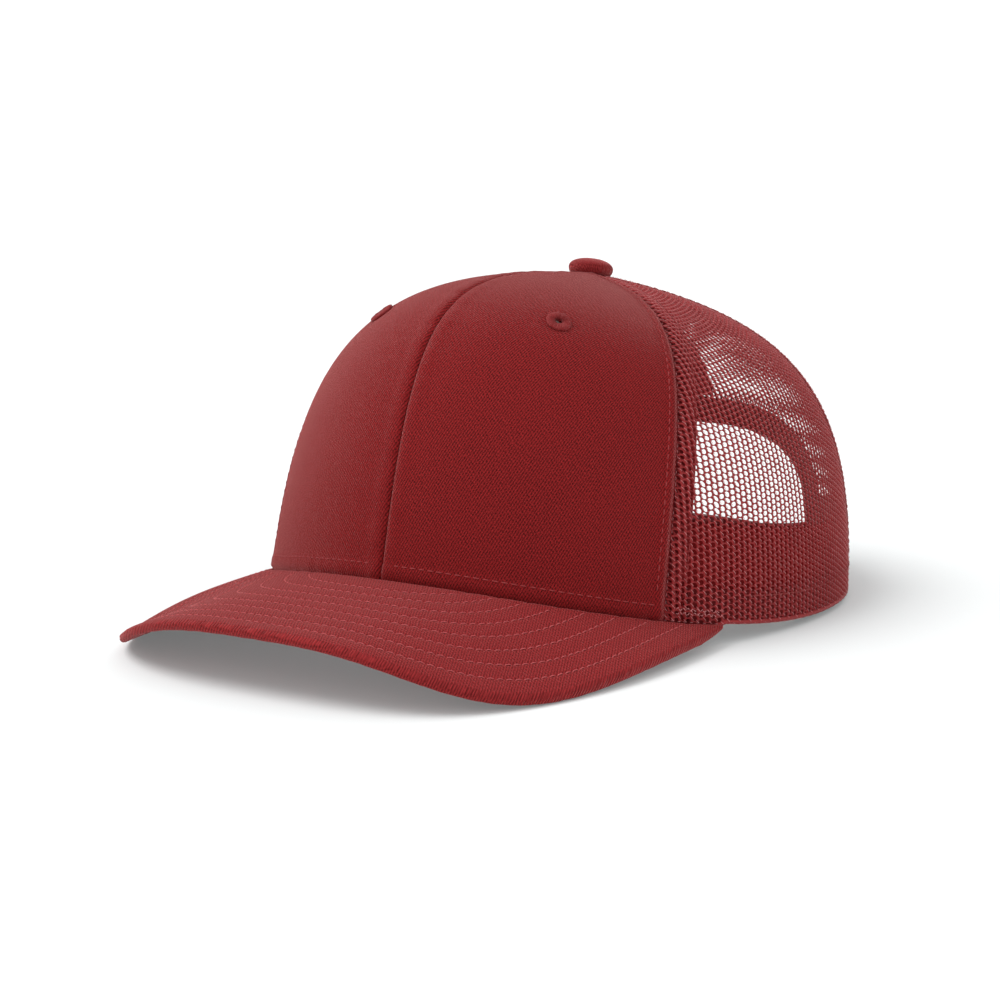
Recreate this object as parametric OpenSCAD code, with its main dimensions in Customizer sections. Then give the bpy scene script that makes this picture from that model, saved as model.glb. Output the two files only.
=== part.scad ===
// Six-panel trucker cap: two stiffened twill front panels, four mesh panels,
// a curved visor and a rear arch closed by a snap strap.
// Millimetres. The front faces -Y, +Z is up and +X is the wearer's left.
// The origin is the centre of the head opening, on the plane that the cap rests on.

/* [Crown] */
// Half of the head opening's width, at the panels' outer face
half_width = 91.4; // [86:0.2:96]
// From the origin forward to the front of the rim
front_reach = 110; // [100:1:114]
// From the origin back to the rear of the rim
rear_reach = 88.6; // [88:0.2:96]
// Height of the crown's top above the ground
crown_height = 102.5; // [95:0.5:112]
// How far behind the origin the crown's top lies
apex_back = 11; // [4:1:16]
// Height of the rim above the ground at the centre front
front_rim_z = 21; // [16:0.5:24]
// Height of the rim above the ground at the sides
side_rim_z = 1.8; // [1:0.1:4]
// Angle of the seam between front and side panel, at the rim
front_seam_angle = 50.6; // [46:0.2:56]
// How much further round that seam lies at the top
front_seam_drift = 16.4; // [8:0.2:20]
// Angle of the seam between side and back panel, at the rim
back_seam_angle = 119; // [112:1:124]
// Thickness of the twill front panels
twill_t = 1; // [0.8:0.1:1.1]
// Thickness of the mesh
mesh_t = 1.2; // [0.8:0.1:1.2]
// Extra fullness of the crown along the centre front seam, as a share of its reach
front_fullness = 0.03; // [0:0.005:0.04]
// Width of the seam tapes inside the crown
tape_w = 16; // [12:1:20]

/* [Rear arch] */
// Half of the angle that the rear arch spans at the rim
arch_half_angle = 35; // [32:0.5:36]
// Height of the arch above the rim
arch_height = 46; // [40:1:50]
// How square the arch is: 2 is an ellipse, more has fuller shoulders
arch_squareness = 2.8; // [2:0.1:3]
// Width of the binding round the arch
arch_binding_w = 10; // [8:0.5:12]

/* [Sweatband] */
// Height of the sweatband
sweatband_h = 30; // [26:1:34]
// Height of the binding along the mesh's lower edge
rim_binding_h = 10; // [8:0.5:12]

/* [Visor] */
// Angle, from the centre front, where the visor leaves the rim
visor_end_angle = 62.6; // [61:0.2:65]
// From the visor's ends forward to its tip
visor_length = 119.6; // [112:1:128]
// Squareness of the visor's outline: 2 is an ellipse
visor_squareness = 3.1; // [2.4:0.1:3.4]
// Thickness of the visor at its edge
visor_t = 3; // [2.8:0.1:3.4]
// Height of the visor's tip above the ground, at its top face
visor_tip_z = 18.4; // [16:0.2:22]

/* [Button and eyelets] */
// Diameter of the covered button
button_d = 14.6; // [12:0.2:15]
// Height of the covered button
button_h = 4.6; // [4:0.2:5]
// Tilt of the button toward the back, with the crown's top
button_tilt = 12; // [6:1:15]
// Outer diameter of the embroidered eyelets
eyelet_d = 7.8; // [7:0.2:9]
// Diameter of the eyelets' hole
eyelet_hole_d = 2.4; // [2:0.1:3]

/* [Snap strap] */
// Outer radius of the strap with the holes
strap_r = 86.4; // [85:0.1:86.4]
// Thickness of each strap
strap_t = 1.2; // [1:0.1:1.3]
// Height of the straps
strap_h = 11; // [10:0.5:12]
// Angle between neighbouring pegs
peg_pitch = 5.43; // [5.2:0.01:5.6]
// Diameter of the pegs
peg_d = 4; // [3.6:0.1:4]
// Diameter of the holes that the pegs snap through
strap_hole_d = 4.8; // [4.6:0.1:4.9]

/* [Hidden] */

FINE = 64;
DEGREES = 180 / PI;
FABRIC_T = 0.6;
// Depths below the crown's outer face at which the layers start
MESH_DEPTH = 0.1;
BUCKRAM_DEPTH = 1.3;
BUCKRAM_T = 0.8;
FRONT_TAPE_DEPTH = 2.6;
MESH_TAPE_DEPTH = 1.9;
PADDING_DEPTH = 3.5;
PADDING_T = 0.7;
SWEATBAND_DEPTH = 4.5;
// The panels stop this far short of the very top, under the button
TOP_U = 0.985;
// Gap at each side of a seam
SEAM_GAP = 0.06;
// How much further round the side and back seam lies at the top
BACK_SEAM_DRIFT = 8;
// The panels run this far below the rim behind the visor's edge
FRONT_DROP = 3;
// The rear rim meets the ground at the arch's corners
rear_rim_z = -side_rim_z * tan(180 - arch_half_angle) ^ 2;

// Cross-sections of the crown, as cubic curves from the rim (0) to the top (1):
// outward swell at the rim, height of the first handle, reach of the second, rise of the second
FRONT_PROFILE = [-0.192, 1.063, 0.679, 0.06];
SIDE_PROFILE = [-0.047, 0.694, 0.687, -0.089];
BACK_PROFILE = [0.3, 0.769, 0.565, -0.179];

// Shares of the front, side and back cross-sections at an angle from the centre front
function shares(t) = [max(cos(t), 0) ^ 2, sin(t) ^ 2, min(cos(t), 0) ^ 2];
function blend3(t, three) = shares(t) * three;
function profile(t) = shares(t) * [FRONT_PROFILE, SIDE_PROFILE, BACK_PROFILE];
function rim_z(t) = blend3(t, [front_rim_z, side_rim_z, rear_rim_z]);

// Share of the rim's radius left at height parameter u, and share of the height reached
function reach_at(p, u) =
    (1 - u) ^ 3 + 3 * (1 - u) ^ 2 * u * (1 + p[0]) + 3 * (1 - u) * u ^ 2 * p[2];
function rise_at(p, u) = 3 * (1 - u) ^ 2 * u * p[1] + 3 * (1 - u) * u ^ 2 * (1 + p[3]) + u ^ 3;

// The fuller middle of the front, which fades out toward the sides, the rim and the top
function fullness(t, u) = 1 + front_fullness * max(cos(t), 0) ^ 6 * 4 * u * (1 - u);

// A point of the crown's outer face at angle t and height parameter u
function crown(t, u) =
    let (
        p = profile(t),
        r = reach_at(p, u) * fullness(t, u),
        reach_y = cos(t) > 0 ? front_reach : rear_reach,
        z0 = rim_z(t)
    )
    [
        r * half_width * sin(t),
        apex_back * (1 - r) - r * reach_y * cos(t),
        z0 + (crown_height - z0) * rise_at(p, u)
    ];

function unit(v) = v / norm(v);
function crown_normal(t, u) =
    unit(cross(crown(t + 0.5, u) - crown(t - 0.5, u), crown(t, u + 0.004) - crown(t, u - 0.004)));
// A point at a depth below the crown's outer face
function inset(t, u, depth) = crown(t, u) - depth * crown_normal(t, u);

// Height parameter at which the crown is h above its rim
function u_at(t, h, lo = 0, hi = 0.9, steps = 14) =
    let (mid = (lo + hi) / 2)
    steps == 0 ? mid :
    crown(t, mid)[2] - rim_z(t) < h ? u_at(t, h, mid, hi, steps - 1) : u_at(t, h, lo, mid, steps - 1);
// Height parameter a little below the rim
function u_below(t, h) = -h / (3 * profile(t)[1] * (crown_height - rim_z(t)));
// How far the panels run below the rim: the full drop behind the visor, none beyond it
function rim_drop(t) =
    FRONT_DROP * min(1, max(0, (visor_end_angle - abs(t)) / 5));
function u_bottom(t) = u_below(t, rim_drop(t));

function front_seam(u) = front_seam_angle + front_seam_drift * u;
function back_seam(u) = back_seam_angle + BACK_SEAM_DRIFT * u;

// Closed slab between two grids of points, [column][row] each
function quad(a, b, c, d) = [[a, b, c], [a, c, d]];
module slab(outer, inner) {
    ni = len(outer) - 1;
    nj = len(outer[0]) - 1;
    half = (ni + 1) * (nj + 1);
    points = [
        for (grid = [outer, inner])
            for (column = grid)
                for (p = column) p
    ];
    function o(i, j) = i * (nj + 1) + j;
    function n(i, j) = half + o(i, j);
    faces = [
        for (i = [0:ni - 1])
            for (j = [0:nj - 1])
                each concat(
                    quad(o(i, j), o(i, j + 1), o(i + 1, j + 1), o(i + 1, j)),
                    quad(n(i, j), n(i + 1, j), n(i + 1, j + 1), n(i, j + 1))
                ),
        for (i = [0:ni - 1])
            each concat(
                quad(o(i, 0), o(i + 1, 0), n(i + 1, 0), n(i, 0)),
                quad(o(i + 1, nj), o(i, nj), n(i, nj), n(i + 1, nj))
            ),
        for (j = [0:nj - 1])
            each concat(
                quad(o(0, j + 1), o(0, j), n(0, j), n(0, j + 1)),
                quad(o(ni, j), o(ni, j + 1), n(ni, j + 1), n(ni, j))
            )
    ];
    polyhedron(points, faces);
}

// A layer of the crown: place(a, b) gives [angle, height parameter] for a and b from 0 to 1
module layer(place, columns, rows, depth, t) {
    function face(d) = [
        for (i = [0:columns]) [
            for (j = [0:rows])
                let (at = place(i / columns, j / rows))
                inset(at[0], at[1], d)
        ]
    ];
    slab(face(depth), face(depth + t));
}

function mix(a, b, s) = a + (b - a) * s;

// Crown panels, drawn on the wearer's left and mirrored for the right

module front_layer(depth, t, rows, edge = 0) {
    layer(
        function(a, b)
            let (u = mix(u_bottom(a * front_seam_angle), TOP_U, b))
            [mix(SEAM_GAP + edge, front_seam(u) - SEAM_GAP - edge, a), u],
        9, rows, depth, t
    );
}

// Stands on the crown's face at an eyelet, +Z outward
EYELET_AT = [29.5, 0.51];
module at_eyelet() {
    n = crown_normal(EYELET_AT[0], EYELET_AT[1]);
    translate(crown(EYELET_AT[0], EYELET_AT[1]))
        rotate([0, acos(n[2]), atan2(n[1], n[0])])
            children();
}

module front_panel() {
    difference() {
        front_layer(0, twill_t, 14);
        at_eyelet() cylinder(d = eyelet_hole_d, h = 8, center = true, $fn = FINE);
    }
}

module front_buckram() {
    difference() {
        front_layer(BUCKRAM_DEPTH, BUCKRAM_T, 10, 1);
        at_eyelet() cylinder(d = eyelet_hole_d + 0.6, h = 12, center = true, $fn = FINE);
    }
}

module eyelet() {
    lift = 0.15;
    rise = 0.7;
    color("firebrick") at_eyelet() translate([0, 0, lift])
        rotate_extrude($fn = FINE)
            translate([eyelet_hole_d / 2, 0])
                intersection() {
                    square([(eyelet_d - eyelet_hole_d) / 2, rise]);
                    translate([(eyelet_d - eyelet_hole_d) / 4, -0.6])
                        circle(d = (eyelet_d - eyelet_hole_d) / 2 + 0.7, $fn = 32);
                }
}

module side_mesh() {
    layer(
        function(a, b)
            let (
                foot = mix(front_seam_angle, back_seam_angle, a),
                u = mix(u_bottom(foot), TOP_U, b)
            )
            [mix(front_seam(u) + SEAM_GAP, back_seam(u) - SEAM_GAP, a), u],
        11, 12, MESH_DEPTH, mesh_t
    );
}

// Share of the back panel's lower edge that lies on the rim, before the arch begins
RIM_SHARE = 0.34;
// A sine or cosine, raised so that it traces the arch's squarer outline
function squared(v) = sign(v) * abs(v) ^ (2 / arch_squareness);
// Turns set closer together near the corners and the top, where the outline runs fastest
function eased(q) =
    let (p = q ^ (arch_squareness / 2), rest = (1 - q) ^ (arch_squareness / 2))
    p / (p + rest);
function eased_turn(turn) =
    turn <= 90 ? 90 * eased(turn / 90) : 180 - 90 * eased((180 - turn) / 90);
// A point on the arch: 0 is its corner at the rim and 90 its top
function arch_at(turn, w = 0) =
    let (
        e = eased_turn(turn),
        t = 180 - (arch_half_angle + w / rear_reach * DEGREES) * squared(cos(e))
    )
    [t, u_at(t, (arch_height + w) * squared(sin(e)))];
function back_foot(a) =
    a < RIM_SHARE
        ? [mix(back_seam_angle, 180 - arch_half_angle, a / RIM_SHARE), 0]
        : arch_at(90 * (a - RIM_SHARE) / (1 - RIM_SHARE));

module back_mesh() {
    layer(
        function(a, b)
            let (
                foot = back_foot(a),
                u = mix(foot[1], TOP_U, b),
                top = mix(back_seam(TOP_U), 180, a),
                t = a == 0 ? back_seam(u) : mix(foot[0], top, b)
            )
            [t + (a == 0 ? SEAM_GAP : a == 1 ? -SEAM_GAP : 0), u],
        16, 12, MESH_DEPTH, mesh_t
    );
}

// Tapes over the seams, inside the crown

// The tapes stop under the button, and narrow where they would overlap
TAPE_TOP_U = 0.93;
TAPE_MAX_SPREAD = 14;
module tape(seam, low, depth) {
    function centre(b) = [seam(mix(low, TAPE_TOP_U, b)), mix(low, TAPE_TOP_U, b)];
    function half_angle(at) =
        let (r = crown(at[0], at[1]) - [0, apex_back, 0])
        tape_w / 2 * DEGREES / norm([r[0], r[1]]);
    layer(
        function(a, b)
            let (at = centre(b), spread = min(half_angle(at), TAPE_MAX_SPREAD))
            [at[0] + (2 * a - 1) * spread, at[1]],
        2, 12, depth, FABRIC_T
    );
}

// The tapes start above the bindings
TAPE_FOOT = 11.5;
module centre_front_tape() {
    color("indianred") tape(function(u) 0, u_at(0, TAPE_FOOT), FRONT_TAPE_DEPTH);
}
module front_side_tape() {
    tape(
        function(u) front_seam(u),
        u_at(front_seam_angle, TAPE_FOOT),
        FRONT_TAPE_DEPTH
    );
}
module side_back_tape() {
    tape(function(u) back_seam(u), u_at(back_seam_angle, TAPE_FOOT), MESH_TAPE_DEPTH);
}
module centre_back_tape() {
    foot = u_at(180, arch_height + arch_binding_w + 1);
    color("indianred") tape(function(u) 180, foot, MESH_TAPE_DEPTH);
}

// Bindings and sweatband

BINDING_GAP_ANGLE = 0.6;
arch_binding_angle = arch_binding_w / rear_reach * DEGREES;

module rim_binding() {
    color("indianred") layer(
        function(a, b)
            let (
                first = visor_end_angle + 2,
                last = 180 - arch_half_angle - arch_binding_angle - BINDING_GAP_ANGLE,
                t = mix(first, last, a)
            )
            [t, mix(0, u_at(t, rim_binding_h), b)],
        12, 1, MESH_TAPE_DEPTH, FABRIC_T
    );
}

module arch_binding() {
    color("indianred") layer(
        function(a, b) arch_at(180 * (1 - a), arch_binding_w * (1 - b)),
        40, 3, MESH_TAPE_DEPTH, FABRIC_T
    );
}

// Angle at which the sweatband ends, on each side of the rear arch
SWEATBAND_END = 137;
SWEATBAND_FOOT = 0.4;
PADDING_MARGIN = 1.5;
// The sweatband's top comes down a little from the temples to the back
SWEATBAND_DROP = 3;
SWEATBAND_DROP_FROM = 70;
SWEATBAND_DROP_OVER = 30;
function sweatband_drop(t) =
    let (x = max(0, min(1, (abs(t) - SWEATBAND_DROP_FROM) / SWEATBAND_DROP_OVER)))
    SWEATBAND_DROP * x ^ 2 * (3 - 2 * x);
module sweatband_layer(depth, t, foot, top, end) {
    layer(
        function(a, b)
            let (at = mix(-end, end, a))
            [at, mix(u_at(at, foot), u_at(at, top - sweatband_drop(at)), b)],
        44, 3, depth, t
    );
}
module sweatband() {
    color("firebrick") sweatband_layer(
        SWEATBAND_DEPTH, FABRIC_T, SWEATBAND_FOOT, sweatband_h, SWEATBAND_END
    );
}
module sweatband_padding() {
    color("white")
        sweatband_layer(
            PADDING_DEPTH, PADDING_T,
            PADDING_MARGIN, sweatband_h - PADDING_MARGIN, SWEATBAND_END - 1
        );
}

// Visor: ruled from the rim to a rounded outline, with the middle arched

// The widest angle drawn, just short of the ends where the visor narrows to nothing
VISOR_TURN = 88.5;
// Every layer of the visor is drawn on the same columns, so that they stay parallel
VISOR_COLUMNS = 34;
function visor_turn(column) = VISOR_TURN * (2 * column / VISOR_COLUMNS - 1);
visor_end = crown(visor_end_angle, 0);
// The corners dip until the underside just touches the ground
visor_dip =
    let (
        sum = visor_tip_z + visor_end[2] - 2 * visor_t,
        difference = visor_tip_z - visor_end[2]
    )
    (sum + sqrt(sum ^ 2 - difference ^ 2)) / 4;

// Gap between the visor and the crown
ROOT_GAP = 0.3;
// A point of the visor's root, at a depth below its top face
function visor_root(turn, depth) =
    let (t = visor_end_angle * turn / 90)
    inset(t, u_below(t, depth), -ROOT_GAP);
// The visor's outline, at its top face
function visor_rim(turn) =
    let (
        q = visor_squareness,
        rho = (abs(sin(turn)) ^ q + abs(cos(turn)) ^ q) ^ (1 / q),
        side = (abs(sin(turn)) / rho) ^ q
    )
    [
        visor_end[0] * sin(turn) / rho,
        visor_end[1] - visor_length * cos(turn) / rho,
        visor_tip_z * (1 - side) + visor_end[2] * side - visor_dip * 4 * side * (1 - side)
    ];
// A point of the visor: inward from its outline, outward from the rim, or a share between
function visor_point(turn, share, depth, inward = 0, outward = 0) =
    let (
        root = visor_root(turn, depth),
        tip = visor_rim(turn) - [0, 0, depth],
        span = norm(tip - root),
        s = mix(outward / span, 1 - inward / span, share)
    )
    mix(root, tip, s);

module visor_layer(depth, t, inward, outward, rows = 4) {
    function face(d) = [
        for (i = [1:VISOR_COLUMNS - 1]) [
            for (j = [0:rows])
                visor_point(visor_turn(i), j / rows, d, inward, outward)
        ]
    ];
    slab(face(depth + t), face(depth));
}

// The board lies between the covers, short of their edges
BOARD_DEPTH = 0.85;
BOARD_T = 1.4;
BOARD_INWARD = 1.6;
BOARD_OUTWARD = 0.6;
UNDER_COVER_INWARD = 2.6;
module visor_board() {
    color("white") visor_layer(BOARD_DEPTH, BOARD_T, BOARD_INWARD, BOARD_OUTWARD);
}
module visor_under_cover() {
    color("indianred") visor_layer(visor_t - FABRIC_T, FABRIC_T, UNDER_COVER_INWARD, 0);
}

// The top cover wraps round the outer edge and ends in a short lip under the visor
module visor_top_cover() {
    lip = 2.2;
    t = FABRIC_T;
    // [share of the way out, depth, distance in from the outline]
    section = [
        [0, 0, 0], [0.35, 0, 0], [0.7, 0, 0], [1, 0, 0.3], [1, 0.5, 0], [1, visor_t - 0.5, 0],
        [1, visor_t, 0.3], [1, visor_t, lip], [1, visor_t - t, lip], [1, visor_t - t, t + 0.2],
        [1, visor_t - t - 0.2, t], [1, t + 0.2, t], [1, t, t + 0.2], [0.7, t, 0], [0.35, t, 0],
        [0, t, 0]
    ];
    count = len(section);
    points = [
        for (i = [0:VISOR_COLUMNS])
            for (s = section)
                visor_point(visor_turn(i), s[0], s[1], s[2])
    ];
    sides = [
        for (i = [0:VISOR_COLUMNS - 1])
            for (k = [0:count - 1])
                let (a = i * count + k, b = i * count + (k + 1) % count)
                each quad(a, a + count, b + count, b)
    ];
    // The outer points of the section pair with the inner ones, so each end is a row of quads
    last = VISOR_COLUMNS * count;
    ends = [
        for (k = [0:count / 2 - 2])
            each concat(
                quad(k, k + 1, count - 2 - k, count - 1 - k),
                quad(last + k, last + count - 1 - k, last + count - 2 - k, last + k + 1)
            )
    ];
    color("indianred") polyhedron(points, concat(sides, ends));
}

// The turned-up seam allowance of the visor, inside the front panels
SEAM_TAB_H = 9.5;
module visor_seam_tab() {
    color("indianred") layer(
        function(a, b)
            let (t = mix(2 - visor_end_angle, visor_end_angle - 2, a))
            [t, mix(u_bottom(t), u_at(t, SEAM_TAB_H), b)],
        24, 1, FRONT_TAPE_DEPTH, FABRIC_T
    );
}

// Covered button, on the crown's top

// Stands on the crown's top, tilted with it
module at_top() {
    translate([0, apex_back, crown_height]) rotate([-button_tilt, 0, 0]) children();
}
// Solid of a shallow domed button
module dome(d, h, foot) {
    edge = 1.1;
    rise = h - foot;
    radius = ((d / 2) ^ 2 + rise ^ 2) / (2 * rise);
    translate([0, 0, foot]) rotate_extrude($fn = FINE) intersection() {
        translate([0, rise - radius]) circle(r = radius, $fn = 2 * FINE);
        translate([0, -0.01]) square([d / 2 - edge / 4, rise + 0.01]);
    }
}
BUTTON_FOOT = 0.4;
// Thickness of the cover at its edge and top, and the clearance of the shell inside it
COVER_SIDE = 0.7;
COVER_TOP = 0.7;
SHELL_GAP = 0.2;
// The tack's shaft and its washer inside the crown
TACK_D = 2.4;
TACK_BORE_D = 3.2;
TACK_DEPTH = 3.6;
TACK_RISE = 5;
WASHER_D = 10;
WASHER_T = 0.8;
module button_cover() {
    color("indianred") at_top() difference() {
        dome(button_d, button_h, BUTTON_FOOT);
        dome(button_d - 2 * COVER_SIDE, button_h - COVER_TOP, BUTTON_FOOT - 0.01);
    }
}
module button_shell() {
    color("silver") at_top() difference() {
        dome(button_d - 2 * (COVER_SIDE + SHELL_GAP), button_h - COVER_TOP - SHELL_GAP, BUTTON_FOOT);
        translate([0, 0, BUTTON_FOOT - 1]) cylinder(d = TACK_BORE_D, h = 2.6, $fn = FINE);
    }
}
module button_tack() {
    color("silver") at_top() {
        translate([0, 0, -TACK_DEPTH]) cylinder(d = TACK_D, h = BUTTON_FOOT + TACK_RISE, $fn = FINE);
        translate([0, 0, -TACK_DEPTH - WASHER_T]) cylinder(d = WASHER_D, h = WASHER_T, $fn = FINE);
    }
}

// Snap strap: two bands that meet across the arch, pegs through holes

// Height of the straps' lower edge above the ground
strap_z = 0.3;
band_gap = 0.3;
peg_strap_r = strap_r - strap_t - band_gap;
STRAP_PEGS = 7;
// Both bands carry a row of pegs or holes, and four of them meet at the centre back
first_peg = 180 - 1.5 * peg_pitch;
TIP_MARGIN = 3.4;
// The straps' flexing hinges lie just past the arch's corners
HINGE_PAST_ARCH = 2.5;
hinge_angle = 180 - arch_half_angle + HINGE_PAST_ARCH;
// Half of the flexing gap beside the hinge, as an angle
FLEX_ANGLE = 0.6;
TAB_ANGLE = 7.4;

// A curved band between two angles from the centre front, anticlockwise from above
module band(r, from, to) {
    rotate([0, 0, from - 90])
        rotate_extrude(angle = to - from, $fn = 3 * FINE)
            translate([r - strap_t, strap_z]) square([strap_t, strap_h]);
}
// Stands on the strap's centre line at an angle and radius, +Z outward
module on_band(r, t) {
    rotate([0, 0, t - 90]) translate([r, 0, strap_z + strap_h / 2]) rotate([0, 90, 0]) children();
}
// Height of the pegs' straight part above the other band's face, and of their domed head
PEG_STRAIGHT = 0.9;
PEG_HEAD = 1.15;
PEG_ROOT = 0.1;
module peg() {
    dome_r = peg_d / 2;
    straight = PEG_STRAIGHT + band_gap;
    cylinder(d = peg_d, h = straight, $fn = FINE);
    translate([0, 0, straight - 0.01]) rotate_extrude($fn = FINE) intersection() {
        circle(r = dome_r, $fn = FINE);
        square([dome_r, PEG_HEAD]);
    }
}
module hole_strap() {
    last = first_peg + 3 * peg_pitch;
    color("indianred") difference() {
        band(strap_r, hinge_angle + FLEX_ANGLE, last + TIP_MARGIN);
        for (k = [0:STRAP_PEGS - 1])
            on_band(strap_r, last - k * peg_pitch)
                cylinder(d = strap_hole_d, h = 6, center = true, $fn = FINE);
    }
}
module hole_strap_tab() {
    color("indianred") band(strap_r, hinge_angle - FLEX_ANGLE - TAB_ANGLE, hinge_angle - FLEX_ANGLE);
}
module peg_strap() {
    color("indianred") {
        band(peg_strap_r, first_peg - TIP_MARGIN, 360 - hinge_angle - FLEX_ANGLE);
        for (k = [0:STRAP_PEGS - 1])
            on_band(peg_strap_r - PEG_ROOT, first_peg + k * peg_pitch) peg();
    }
}
module peg_strap_tab() {
    end = 360 - hinge_angle + FLEX_ANGLE;
    color("indianred") band(peg_strap_r, end, end + TAB_ANGLE);
}

module right_side() {
    mirror([1, 0, 0]) children();
}

color("brown") front_panel();  // front_panel_left
right_side() color("brown") front_panel();  // front_panel_right
color("indianred") side_mesh();  // side_mesh_left
right_side() color("indianred") side_mesh();  // side_mesh_right
color("indianred") back_mesh();  // back_mesh_left
right_side() color("indianred") back_mesh();  // back_mesh_right
color("white") front_buckram();  // front_buckram_left
right_side() color("white") front_buckram();  // front_buckram_right
centre_front_tape();
color("brown") front_side_tape();  // front_side_tape_left
right_side() color("brown") front_side_tape();  // front_side_tape_right
color("brown") side_back_tape();  // side_back_tape_left
right_side() color("brown") side_back_tape();  // side_back_tape_right
centre_back_tape();
rim_binding();  // rim_binding_left
right_side() rim_binding();  // rim_binding_right
arch_binding();
sweatband();
sweatband_padding();
visor_board();
visor_top_cover();
visor_under_cover();
visor_seam_tab();
button_cover();
button_shell();
button_tack();
eyelet();  // eyelet_left
right_side() eyelet();  // eyelet_right
hole_strap();
hole_strap_tab();
peg_strap();
peg_strap_tab();
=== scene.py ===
"""Looks of a six-panel trucker cap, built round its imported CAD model.

The front of the cap faces -Y, +Z is up and +X is the wearer's left. Blender works in metres;
the shape functions work in millimetres, as the CAD model does, and make_mesh scales them.
"""
import math

import bpy
import numpy as np
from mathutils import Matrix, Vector

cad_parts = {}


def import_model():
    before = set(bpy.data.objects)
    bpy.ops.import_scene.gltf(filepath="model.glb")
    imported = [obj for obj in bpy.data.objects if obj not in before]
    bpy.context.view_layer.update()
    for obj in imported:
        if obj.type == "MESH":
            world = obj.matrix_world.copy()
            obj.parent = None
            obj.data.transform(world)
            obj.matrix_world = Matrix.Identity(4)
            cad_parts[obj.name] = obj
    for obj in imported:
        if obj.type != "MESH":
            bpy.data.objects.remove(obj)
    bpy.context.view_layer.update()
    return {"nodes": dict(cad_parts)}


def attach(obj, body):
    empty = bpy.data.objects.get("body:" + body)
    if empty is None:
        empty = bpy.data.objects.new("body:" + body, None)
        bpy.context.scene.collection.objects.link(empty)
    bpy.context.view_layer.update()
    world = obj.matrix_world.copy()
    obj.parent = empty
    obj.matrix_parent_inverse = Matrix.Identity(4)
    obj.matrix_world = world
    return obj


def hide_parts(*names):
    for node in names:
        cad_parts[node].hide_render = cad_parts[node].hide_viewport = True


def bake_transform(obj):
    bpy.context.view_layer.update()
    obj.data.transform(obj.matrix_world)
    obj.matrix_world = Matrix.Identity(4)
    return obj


MM = 0.001
SEED = 7

# ---------------------------------------------------------------- the crown's shape, as in CAD

HALF_WIDTH = 91.4
FRONT_REACH = 110.0
REAR_REACH = 88.6
CROWN_HEIGHT = 102.5
APEX_BACK = 11.0
FRONT_RIM_Z = 21.0
SIDE_RIM_Z = 1.8
ARCH_HALF_ANGLE = 35.0
ARCH_HEIGHT = 46.0
ARCH_SQUARENESS = 2.8
ARCH_BINDING_W = 10.0
REAR_RIM_Z = -SIDE_RIM_Z * math.tan(math.radians(180 - ARCH_HALF_ANGLE)) ** 2
FRONT_FULLNESS = 0.03
FRONT_SEAM_ANGLE = 50.6
FRONT_SEAM_DRIFT = 16.4
BACK_SEAM_ANGLE = 119.0
BACK_SEAM_DRIFT = 8.0
FRONT_DROP = 3.0
TOP_U = 0.985
SEAM_GAP = 0.06
FABRIC_T = 0.6
MESH_DEPTH = 0.7
MESH_TAPE_DEPTH = 1.9
FRONT_TAPE_DEPTH = 2.6
BUCKRAM_DEPTH = 1.3
BUCKRAM_T = 0.8
PADDING_DEPTH = 3.5
PADDING_T = 0.7
SWEATBAND_DEPTH = 4.5
SWEATBAND_H = 30.0
SWEATBAND_DROP = 3.0
SWEATBAND_END = 137.0
RIM_BINDING_H = 10.0
TAPE_W = 16.0
TAPE_FOOT = 11.5
TAPE_TOP_U = 0.93
TWILL_T = 1.0
EYELET_AT = (29.5, 0.51)
EYELET_R = 3.9
EYELET_HOLE_R = 1.2
VISOR_END_ANGLE = 62.6
VISOR_LENGTH = 119.6
VISOR_SQUARENESS = 3.1
VISOR_T = 3.0
VISOR_TIP_Z = 18.4
VISOR_TURN = 88.5

PROFILES = np.array(
    [
        [-0.192, 1.063, 0.679, 0.06],
        [-0.047, 0.694, 0.687, -0.089],
        [0.3, 0.769, 0.565, -0.179],
    ]
)
RIM_HEIGHTS = np.array([FRONT_RIM_Z, SIDE_RIM_Z, REAR_RIM_Z])


def shares(t):
    c, s = np.cos(np.radians(t)), np.sin(np.radians(t))
    return np.stack([np.maximum(c, 0) ** 2, s**2, np.minimum(c, 0) ** 2], -1)


def rim_z(t):
    return shares(t) @ RIM_HEIGHTS


def crown(t, u):
    """Points of the crown's outer face at angles t from the centre front and heights u."""
    t, u = np.broadcast_arrays(np.asarray(t, float), np.asarray(u, float))
    c, s = np.cos(np.radians(t)), np.sin(np.radians(t))
    p = shares(t) @ PROFILES
    z0 = rim_z(t)
    first, second, third = 3 * (1 - u) ** 2 * u, 3 * (1 - u) * u**2, u**3
    r = (1 - u) ** 3 + first * (1 + p[..., 0]) + second * p[..., 2]
    r = r * (1 + FRONT_FULLNESS * np.maximum(c, 0) ** 6 * 4 * u * (1 - u))
    rise = first * p[..., 1] + second * (1 + p[..., 3]) + third
    reach = np.where(c > 0, FRONT_REACH, REAR_REACH)
    return np.stack(
        [r * HALF_WIDTH * s, APEX_BACK * (1 - r) - r * reach * c, z0 + (CROWN_HEIGHT - z0) * rise],
        -1,
    )


def unit(v):
    return v / np.maximum(np.linalg.norm(v, axis=-1, keepdims=True), 1e-9)


def crown_normal(t, u):
    t, u = np.asarray(t, float), np.asarray(u, float)
    along = crown(t + 0.5, u) - crown(t - 0.5, u)
    up = crown(t, u + 0.004) - crown(t, u - 0.004)
    return unit(np.cross(along, up))


def on_crown(t, u, depth=0.0):
    return crown(t, u) - np.asarray(depth, float)[..., None] * crown_normal(t, u)


def layers(t, u, depth):
    """The outer and inner face of a cloth strip at this depth inside the crown."""
    return on_crown(t, u, depth), on_crown(t, u, depth + FABRIC_T)


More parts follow.
